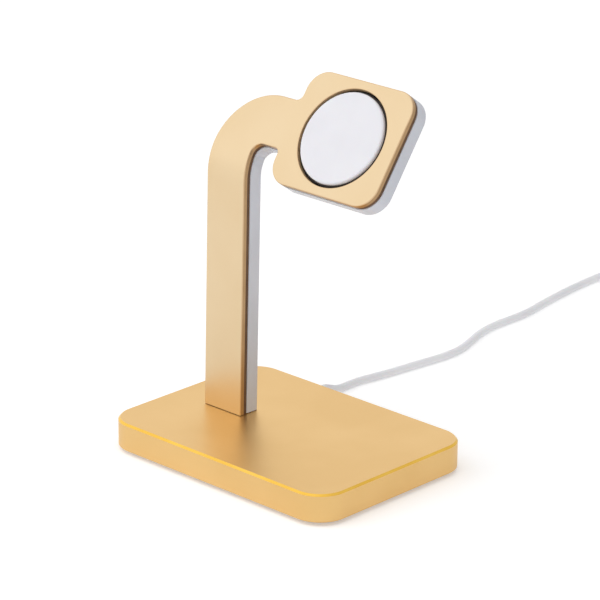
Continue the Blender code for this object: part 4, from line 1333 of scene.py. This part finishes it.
@dataclass
class Puck(Assembly):
    """The cap of the charging puck: a white face in a dark rim, whose black is also painted shade
    for the gap.

    Attributes:
        arm: The arm that holds it.
        radius: Radius of the cap over its rim.
        face: Radius of the white face.
        proud: How far the white face stands out of the sheet.
        step: How far the rim lies below the white face.
        back: Depth of the cap's rear edge.
        wall: Thickness of its face and its side.
        edge: Radius of the white face's edge.
        edge_steps: Number of faces across that edge.
        rim_edge: Radius of the rim's edge.
    """

    title = "puck"
    arm: Arm
    radius: float = 0.01375
    face: float = 0.01338
    proud: float = 0.00035
    step: float = 0.0010
    back: float = 0.00225
    wall: float = 0.0009
    edge: float = 0.00065
    edge_steps: int = 5
    rim_edge: float = 0.00012

    def build(self) -> list[bpy.types.Object]:
        """Moulds the cap as a shallow cup whose face stands a step above its rim.

        Returns:
            The cap.
        """
        far = self.arm.from_hole
        rim, beyond = self.proud - self.step, self.face + 2 * NEAR
        piece = self.arm.disc("puck_cap", self.radius, -rim, self.back)
        piece.dress(GLOSS_WHITE, SILICONE_BLACK_AND_GAP_SHADE)
        piece.pick_at(Kind.FACES, Axis.Z, rim).inset(self.radius - self.face)
        inside = self.face / 2
        piece.pick(Kind.FACES, lambda face: level(face, Axis.Z, rim) and far(face) < inside)
        piece.extrude((0, 0, self.step))
        piece.pick_at(Kind.EDGES, Axis.Z, self.proud).bevel(self.edge, self.edge_steps)
        piece.pick(Kind.EDGES, lambda edge: level(edge, Axis.Z, rim) and far(edge) > beyond)
        piece.bevel(self.rim_edge, EASED)
        piece.pick_at(Kind.FACES, Axis.Z, -self.back).inset(self.wall)
        piece.extrude((0, 0, self.back + self.proud - self.wall))
        # The rim takes the black as painted shade for the gap round the puck.
        piece.paint(SILICONE_BLACK_AND_GAP_SHADE, lambda face: far(face) > beyond)
        return [self.arm.stand(piece).done(Slot.WHITE, "charger_cap", angle=35.0)]


@dataclass
class Grommet(Assembly):
    """The rubber bush and tapered boot where the lead leaves the base.

    Attributes:
        base: The base that holds it.
        bore: Radius of the way for the lead.
        sides: Number of sides of boot and bore.
        tip: Place of the boot's tip.
        boot: Radius of the boot at the base.
        boot_tip: Radius of the boot at its tip.
        neck: Radius of the neck in the base's notch.
        flange: Half the width of the flange behind the wall.
        flange_low: Lower edge of the flange.
        flange_thick: Thickness of the flange.
        flange_corner: Radius of its corners.
        easing: Radius of the tip's rounded edge.
    """

    title = "grommet"
    base: Base
    bore: float = 0.0015
    sides: int = 48
    tip: float = 0.03485
    boot: float = 0.0028
    boot_tip: float = 0.0021
    neck: float = 0.0023
    flange: float = 0.0036
    flange_low: float = 0.0026
    flange_thick: float = 0.0015
    flange_corner: float = 0.0005
    easing: float = 0.0003

    def build(self) -> list[bpy.types.Object]:
        """Moulds flange, neck and boot as one, with the lead's way through them.

        Returns:
            The rubber bush.
        """
        x, z = self.base.post_x, self.base.exit_height
        outer, inner = self.base.width / 2, self.base.width / 2 - self.base.wall
        start, end = (x, outer + GAP / 2, z), (x, self.tip, z)
        piece = Work.round("rubber_boot", start, end, self.boot, self.sides, self.boot_tip)
        piece.pick_at(Kind.EDGES, Axis.Y, self.tip).bevel(self.easing, ROUNDED)
        back = inner - GAP - self.flange_thick
        through = (back + self.flange_thick / 2, outer + GAP)
        piece.join(self.base.arch("neck", self.neck, through, self.base.bottom))
        across, high = (x - self.flange, x + self.flange), self.base.roof - GAP
        flange = Work.block("flange", across, (back, inner - GAP), (self.flange_low, high))
        piece.join(flange.pick_along(Axis.Y).bevel(self.flange_corner, ROUNDED))
        start, end = (x, back - MM, z), (x, self.tip + MM, z)
        piece.cut(Work.round("bore", start, end, self.bore, self.sides))
        return [piece.dress(PLUG_WHITE).done(Slot.CORD, "cable_grommet")]


@dataclass
class FreeCord(Assembly):
    """The free lead: its run from the boot, its coil with the tie, and its tail to the plug.

    Attributes:
        thick: Diameter of the lead.
        centre: Middle of the coil.
        columns: Radii of the inner and the outer column of turns.
        low: Height of the lowest turns' middle.
        turned: How far the coil winds, in degrees.
        step: Angle between the coil's points, in degrees.
        ramp: Angle over which the lead crosses to the next turn, in degrees.
        tie_y: Near and far side of the tie, from the coil's middle.
        tie_z: Lower and upper side of the tie.
        tie_wide: Half the tie's width along the turns.
        tie_thick: Thickness of its strap.
        tie_round: Radius of its corners.
        tie_steps: Number of faces round such a corner.
        tie_edge: Radius of the strap's edges.
        smooth: Number of steps between two points of the lead.
        round_steps: How finely its round section is divided.
        plug_nodes: What hangs on the far end; not used.
        run: Way of the lead from the boot to the coil.
        tail: Way of the lead from the coil to the plug.
    """

    title = "cord"
    thick: float = 0.0024
    centre: Span = (-0.0140, 0.2000)
    columns: Span = (0.0113, 0.0137)
    low: float = 0.00215
    turned: float = 2655.0
    step: float = 15.0
    ramp: float = 30.0
    tie_y: Span = (-0.0158, -0.0090)
    tie_z: Span = (0.00005, 0.01145)
    tie_wide: float = 0.0020
    tie_thick: float = 0.0006
    tie_round: float = 0.0018
    tie_steps: int = 8
    tie_edge: float = 0.00012
    smooth: int = 6
    round_steps: int = 5
    plug_nodes: Sequence[bpy.types.Object] = ()
    run: tuple[Point, ...] = (
        (-0.02165, 0.0349, 0.0039),
        (-0.02165, 0.0385, 0.0037),
        (-0.0219, 0.0415, 0.0026),
        (-0.0224, 0.0450, 0.00155),
        (-0.0228, 0.0492, 0.00125),
        (-0.0227, 0.0543, 0.00125),
        (-0.0219, 0.0586, 0.00125),
        (-0.0208, 0.0654, 0.00125),
        (-0.0198, 0.0732, 0.00125),
        (-0.0188, 0.0812, 0.00125),
        (-0.0181, 0.0884, 0.00125),
        (-0.0186, 0.0945, 0.00125),
        (-0.0206, 0.1013, 0.00125),
        (-0.0229, 0.1082, 0.00125),
        (-0.0242, 0.1148, 0.00125),
        (-0.0245, 0.1217, 0.00125),
        (-0.0244, 0.1290, 0.00125),
        (-0.0249, 0.1350, 0.00125),
        (-0.0260, 0.1410, 0.00125),
        (-0.0274, 0.1500, 0.00125),
        (-0.0286, 0.1600, 0.00125),
        (-0.0293, 0.1700, 0.00125),
        (-0.0292, 0.1800, 0.00155),
        (-0.0282, 0.1917, 0.00210),
    )
    tail: tuple[Point, ...] = (
        (0.0025, 0.2031, 0.00925),
        (0.0070, 0.1984, 0.0083),
        (0.0110, 0.1930, 0.0064),
        (0.0134, 0.1872, 0.0046),
        (0.0141, 0.1830, 0.0039),
        (0.0141, 0.1799, 0.00385),
    )

    def build(self) -> list[bpy.types.Object]:
        """Straps the coil, and lays the lead."""
        tie = self.tie()
        return [self.lead(tie), tie]

    def winding(self) -> list[Point]:
        """Winds the coil: outer and inner columns by turns, layer on layer, a diameter apart.

        Returns:
            Its points.
        """
        order = [(1, 0), (0, 0), (0, 1), (1, 1), (1, 2), (0, 2), (0, 3), (1, 3)]
        points = []
        for count in range(round(self.turned / self.step) + 1):
            gone = count * self.step
            crossed = 0.0
            for crossing in range(1, len(order)):
                begin = crossing * (360.0 - self.ramp)
                crossed += min(max((gone - begin) / self.ramp, 0.0), 1.0)
            place = min(int(crossed), len(order) - 2)
            share = crossed - place
            share = share * share * (3 - 2 * share)
            (column, layer), (next_column, next_layer) = order[place], order[place + 1]
            near, far = self.columns[column], self.columns[next_column]
            wide = near + (far - near) * share
            high = self.low + self.thick * (layer + (next_layer - layer) * share)
            angle = math.radians(180.0 - gone)
            x = self.centre[0] + wide * math.cos(angle)
            y = self.centre[1] + wide * math.sin(angle)
            points.append((x, y, high))
        return points

    def lead(self, tie: bpy.types.Object) -> bpy.types.Object:
        """Draws the whole free lead as one smooth round curve.

        Args:
            tie: The tie that goes with it; not used.

        Returns:
            The lead.
        """
        points = [*self.run, *self.winding(), *self.tail]
        curve = bpy.data.curves.new("free_lead", "CURVE")
        curve.dimensions, curve.use_fill_caps = "3D", True
        curve.resolution_u = curve.render_resolution_u = self.smooth
        curve.bevel_depth, curve.bevel_resolution = self.thick / 2, self.round_steps
        spline = curve.splines.new("BEZIER")
        spline.bezier_points.add(len(points) - 1)
        for knot, place in zip(spline.bezier_points, points):
            knot.co = place
            knot.handle_left_type = knot.handle_right_type = "AUTO"
        curve.materials.append(JACKET_WHITE.make())
        lead = bpy.data.objects.new("free_lead", curve)
        bpy.context.scene.collection.objects.link(lead)
        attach(lead, BODY)
        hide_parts("cable_run", "cable_coil", "cable_tail")
        return lead

    def tie(self) -> bpy.types.Object:
        """Makes the strap round the coil: a rounded band, open along the turns.

        Returns:
            The strap.
        """
        ends = (self.centre[0] - self.tie_wide, self.centre[0] + self.tie_wide)
        deep = (self.centre[1] + self.tie_y[0], self.centre[1] + self.tie_y[1])
        piece = Work.block("coil_strap", ends, deep, self.tie_z)
        piece.pick_along(Axis.X).bevel(self.tie_round, self.tie_steps)
        piece.hollow(Axis.X, ends, self.tie_thick)
        piece.pick(Kind.EDGES, creased).bevel(self.tie_edge, EASED)
        return piece.dress(WOVEN_STRAP).done(Slot.BLACK, "cable_tie")


@dataclass
class Plug(Assembly):
    """The plug at the lead's far end.

    Attributes:
        x: Middle of the plug.
        z: Height of its middle.
        face: Place of the moulded body's front face.
        end: Place of the moulded body's rear face.
        mouth: Place of the metal shell's mouth.
        tip: Place of the strain relief's tip.
        half: Half the body's width and height.
        corner: Radius of the body's long corners.
        corner_steps: Number of faces round such a corner.
        edge: Radius of the edges at its ends.
        edge_steps: Number of faces across such an edge.
        seat: Half the width and height of the metal shell's seat.
        seat_deep: Depth of the seat.
        metal: Half the metal shell's width and height.
        metal_corner: Radius of the metal shell's long corners.
        metal_steps: Number of faces round such a corner.
        sheet: Thickness of its metal.
        relief: Radius of the strain relief at the body.
        relief_tip: Radius of the strain relief at its tip.
        relief_sides: Number of its sides.
        relief_edge: Radius of its tip's edge.
    """

    title = "plug"
    x: float = 0.0141
    z: float = 0.00385
    face: float = 0.1530
    end: float = 0.1730
    mouth: float = 0.1410
    tip: float = 0.1800
    half: Span = (0.0079, 0.0038)
    corner: float = 0.0018
    corner_steps: int = 8
    edge: float = 0.0006
    edge_steps: int = 4
    seat: Span = (0.0063, 0.00255)
    seat_deep: float = 0.0030
    metal: Span = (0.0060, 0.00225)
    metal_corner: float = 0.0006
    metal_steps: int = 6
    sheet: float = 0.0003
    relief: float = 0.0024
    relief_tip: float = 0.0018
    relief_sides: int = 48
    relief_edge: float = 0.0003

    def build(self) -> list[bpy.types.Object]:
        """Makes the moulded body and the metal shell."""
        return [self.moulding(), self.shell()]

    def bar(self, name: str, half: Span, y: Span) -> Work:
        """Makes a block about the plug's axis.

        Args:
            name: Name of the block.
            half: Half its width and height.
            y: Its ends.

        Returns:
            The block.
        """
        across, high = (self.x - half[0], self.x + half[0]), (self.z - half[1], self.z + half[1])
        return Work.block(name, across, y, high)

    def moulding(self) -> bpy.types.Object:
        """Moulds the body with its strain relief and the seat of the metal shell.

        Returns:
            The body.
        """
        ends = (self.face, self.end)
        piece = self.bar("plug_moulding", self.half, ends)
        piece.pick_along(Axis.Y).bevel(self.corner, self.corner_steps)
        piece.pick_at(Kind.EDGES, Axis.Y, *ends).bevel(self.edge, self.edge_steps)
        start, tip = (self.x, self.end - self.edge, self.z), (self.x, self.tip, self.z)
        relief = Work.round(
            "relief", start, tip, self.relief, self.relief_sides, self.relief_tip,
        )
        piece.join(relief.pick_at(Kind.EDGES, Axis.Y, self.tip).bevel(self.relief_edge, ROUNDED))
        piece.cut(self.bar("seat", self.seat, (self.face - GAP, self.face + self.seat_deep)))
        return piece.dress(PLUG_WHITE).done(Slot.WHITE, "plug_body")

    def shell(self) -> bpy.types.Object:
        """Folds the metal shell: a flat tube with rounded corners, open at both ends.

        Returns:
            The metal shell.
        """
        ends = (self.mouth, self.face + self.seat_deep - GAP)
        piece = self.bar("plug_sheet_shell", self.metal, ends)
        piece.pick_along(Axis.Y).bevel(self.metal_corner, self.metal_steps)
        piece.hollow(Axis.Y, ends, self.sheet)
        return piece.dress(PLUG_NICKEL).done(Slot.PLUG_STEEL, "plug_shell")


@dataclass
class Innards(Assembly):
    """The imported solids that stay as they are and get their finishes.

    Attributes:
        arm: The arm, whose head they lean back with.
        puck_centre: Middle of the puck's face.
    """

    title = "innards"
    arm: Arm
    puck_centre: Point = (0.01355, 0.006356, 0.09459)

    def build(self) -> list[bpy.types.Object]:
        """Dresses each solid.

        Returns:
            The solids.
        """
        # Turns of fine enamelled wire, wound flat, 0.45 mm apart.
        winding = RingedFinish(
            "enamelled copper litz winding", "#C9773F", "#9A5227", 0.36,
            metallic=1.0, depth=0.08, uneven=0.08, patch=4.0, specks=0.7,
            centre=self.puck_centre, lean=self.arm.head_lean, pitch=0.45,
        )
        # Ground flat on a turning table, which leaves fine rings under the nickel.
        magnet = RingedFinish(
            "ground nickel-plated magnet", "#CFCBC1", "#B7B3A8", 0.24,
            metallic=1.0, depth=0.002, uneven=0.06, patch=3.0, specks=0.3,
            centre=self.puck_centre, lean=self.arm.head_lean, pitch=0.3,
        )
        screws = [f"cover_screw_{count}" for count in range(1, 5)]
        screws += ["clamp_screw_left", "clamp_screw_right", "post_screw_left", "post_screw_right"]
        dressing = {
            ZINC_STEEL: ["base_ballast", "post_bracket"],
            NYLON_BLACK: ["base_cover", "lead_clamp"],
            SCREW_STEEL: screws,
            SILICONE_BLACK_AND_GAP_SHADE: ["seat_ring"],
            PLUG_NICKEL: ["charger_can"],
            winding: ["charging_coil"],
            magnet: ["alignment_magnet"],
            FERRITE: ["ferrite_disc"],
            BOARD_GREEN: ["charger_board"],
            JACKET_WHITE: ["inner_lead"],
            MOULDED_WHITE: ["plug_insert"],
            CONTACT_GOLD: [f"plug_contact_{count}" for count in range(1, 5)],
        }
        solids = []
        for finish, names in dressing.items():
            for name in names:
                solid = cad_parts[name]
                solid.data.materials.clear()
                solid.data.materials.append(finish.make())
                solids.append(solid)
        return solids


@dataclass
class Camera:
    """The camera at the photograph's angle.

    Attributes:
        place: Where it stands.
        azimuth: How far round it stands, in degrees.
        elevation: How far it looks down, in degrees.
        roll: How far it is tilted, in degrees.
        lens: Focal length in millimetres.
        sensor: Width of its sensor in millimetres.
        reach: Nearest and farthest distance that it shows.
    """

    place: Point = (0.57583, -0.59680, 0.35222)
    azimuth: float = 43.735
    elevation: float = 20.225
    roll: float = 0.298
    lens: float = 194.32
    sensor: float = 36.0
    reach: Span = (0.01, 20.0)

    def make(self) -> None:
        """Sets the camera up and makes it the scene's own."""
        angles = (self.azimuth, self.elevation, self.roll)
        turn, rise, tilt = (math.radians(angle) for angle in angles)
        level_way = Vector((math.sin(turn), -math.cos(turn), 0))
        back = level_way * math.cos(rise) + Vector((0, 0, math.sin(rise)))
        right = Vector((math.cos(turn), math.sin(turn), 0))
        up = back.cross(right)
        across = right * math.cos(tilt) + up * math.sin(tilt)
        above = up * math.cos(tilt) - right * math.sin(tilt)
        data = bpy.data.cameras.new("photo_camera")
        data.lens, data.sensor_width = self.lens, self.sensor
        data.clip_start, data.clip_end = self.reach
        camera = bpy.data.objects.new("photo_camera", data)
        turned = Matrix((across, above, back)).transposed().to_4x4()
        camera.matrix_world = Matrix.Translation(self.place) @ turned
        bpy.context.scene.collection.objects.link(camera)
        bpy.context.scene.camera = camera


@dataclass(frozen=True)
class Lamp:
    """A square soft lamp.

    Attributes:
        name: Name of the lamp.
        place: Where it hangs.
        size: Length of its edges.
        power: Its power in watts.
    """

    name: str
    place: Point
    size: float
    power: float

    def hang(self, aim: Point) -> None:
        """Hangs the lamp so that it lights a place and doesn't show in reflections.

        Args:
            aim: The place that it looks at.
        """
        data = bpy.data.lights.new(self.name, "AREA")
        data.shape, data.size, data.energy = "SQUARE", self.size, self.power
        lamp = bpy.data.objects.new(self.name, data)
        lamp.location = self.place
        way = Vector(aim) - Vector(self.place)
        lamp.rotation_euler = way.to_track_quat("-Z", "Y").to_euler()
        lamp.visible_glossy = False
        bpy.context.scene.collection.objects.link(lamp)


@dataclass
class Studio:
    """The pale floor, the white room and its soft lamps.

    Attributes:
        lamps: The window's light, the ceiling's and a weak one from the right.
        aim: Place on the dock that the lamps look at.
        floor_size: Length of the floor's edges.
        room: Strength of the room's light on the dock.
        lift: Light that the floor adds to itself for the camera, to be white outside shadows.
        far_lift: The same far from the dock, where the lamps reach it less.
        lift_way: Distances from the dock's middle between which it grows from one to the other.
        gleam: Light that the floor adds to itself for everything else.
        window: Direction of the window, the brightest part of the room.
        spread: Cosine of the angle from the window at which the room is dimmest.
        dim: Strength of the room there, as metal reflects it.
        bright: Strength of the room at the window.
    """

    lamps: tuple[Lamp, ...] = (
        Lamp("window_lamp", (-0.80, -0.72, 0.78), 1.40, 6.8),
        Lamp("ceiling_lamp", (0.10, -0.20, 1.35), 1.20, 5.4),
        Lamp("fill_lamp", (0.90, -0.95, 0.50), 1.00, 1.6),
    )
    aim: Point = (0.0, 0.0, 0.05)
    floor_size: float = 6.0
    room: float = 0.42
    lift: float = 0.34
    far_lift: float = 0.75
    lift_way: Span = (0.3, 1.5)
    gleam: float = 0.20
    window: Point = (-0.647, -0.548, 0.530)
    spread: float = -0.6
    dim: float = 0.78
    bright: float = 1.13

    def make(self) -> None:
        """Sets up floor, room and lamps."""
        bpy.context.scene.view_settings.view_transform = "Standard"
        self.floor()
        self.white_room()
        for lamp in self.lamps:
            lamp.hang(self.aim)

    def floor(self) -> None:
        """Lays the floor: matt white board that adds a little light of its own."""
        half = self.floor_size / 2
        piece = Work.sheet("studio_floor", (-half, half), (-half, half), 0.0)
        piece.clear()
        paint = bpy.data.materials.new("matt white lacquered board")
        paint.use_nodes = True
        tree = paint.node_tree
        tree.nodes.clear()
        seen = add_node(tree, "ShaderNodeLightPath", {}).outputs["Is Camera Ray"]
        place = add_node(tree, "ShaderNodeTexCoord", {}).outputs["Object"]
        measure = {"operation": "LENGTH"}
        away = add_node(tree, "ShaderNodeVectorMath", measure, {0: place}).outputs["Value"]
        near, far = self.lift_way
        ends = {"From Min": near, "From Max": far, "To Min": self.lift, "To Max": self.far_lift}
        lift = add_node(tree, "ShaderNodeMapRange", ends, {"Value": away}).outputs[0]
        choice = {"Value": seen, "To Max": lift}
        light = add_node(tree, "ShaderNodeMapRange", {"To Min": self.gleam}, choice).outputs[0]
        white = {"Color": (1, 1, 1, 1)}
        glow = add_node(tree, "ShaderNodeEmission", white, {"Strength": light}).outputs[0]
        matt = add_node(tree, "ShaderNodeBsdfDiffuse", {"Color": linear("#F4F4F4")}).outputs[0]
        board = add_node(tree, "ShaderNodeAddShader", {}, {0: matt, 1: glow}).outputs[0]
        add_node(tree, "ShaderNodeOutputMaterial", {}, {"Surface": board})
        piece.body.data.materials.append(paint)

    def white_room(self) -> None:
        """Lights the dock from all round, and shows white to the camera and in reflections."""
        world = bpy.data.worlds.new("white_room")
        world.use_nodes = True
        bpy.context.scene.world = world
        tree = world.node_tree
        tree.nodes.clear()
        way = add_node(tree, "ShaderNodeTexCoord", {}).outputs["Generated"]
        along = {"operation": "DOT_PRODUCT", 1: self.window}
        toward = add_node(tree, "ShaderNodeVectorMath", along, {0: way}).outputs["Value"]
        fade = {
            "interpolation_type": "SMOOTHSTEP", "From Min": self.spread,
            "To Min": self.dim, "To Max": self.bright,
        }
        shown = add_node(tree, "ShaderNodeMapRange", fade, {"Value": toward}).outputs[0]
        rays = add_node(tree, "ShaderNodeLightPath", {}).outputs
        ends = {"Value": rays["Is Glossy Ray"], "To Max": shown}
        reflected = add_node(tree, "ShaderNodeMapRange", {"To Min": self.room}, ends).outputs[0]
        most = {"operation": "MAXIMUM"}
        through = {0: rays["Is Camera Ray"], 1: rays["Is Transmission Ray"]}
        seen = add_node(tree, "ShaderNodeMath", most, through).outputs[0]
        strength = add_node(tree, "ShaderNodeMath", most, {0: reflected, 1: seen}).outputs[0]
        white = {"Color": (1, 1, 1, 1)}
        light = add_node(tree, "ShaderNodeBackground", white, {"Strength": strength}).outputs[0]
        add_node(tree, "ShaderNodeOutputWorld", {}, {"Surface": light})


def main() -> None:
    """Builds the dock round its solids."""
    logging.basicConfig(level=logging.INFO, format="%(name)s: %(message)s")
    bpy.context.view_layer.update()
    Camera().make()
    on_plug = [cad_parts[f"plug_contact_{count}"] for count in range(1, 5)]
    on_plug.append(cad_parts["plug_insert"])
    FreeCord(plug_nodes=[*Plug().report(), *on_plug]).report()
    base = Base()
    arm = Arm(base)
    for assembly in (base, arm, Puck(arm), Grommet(base), Innards(arm)):
        assembly.report()
    Studio().make()


if __name__ == "__main__":
    main()
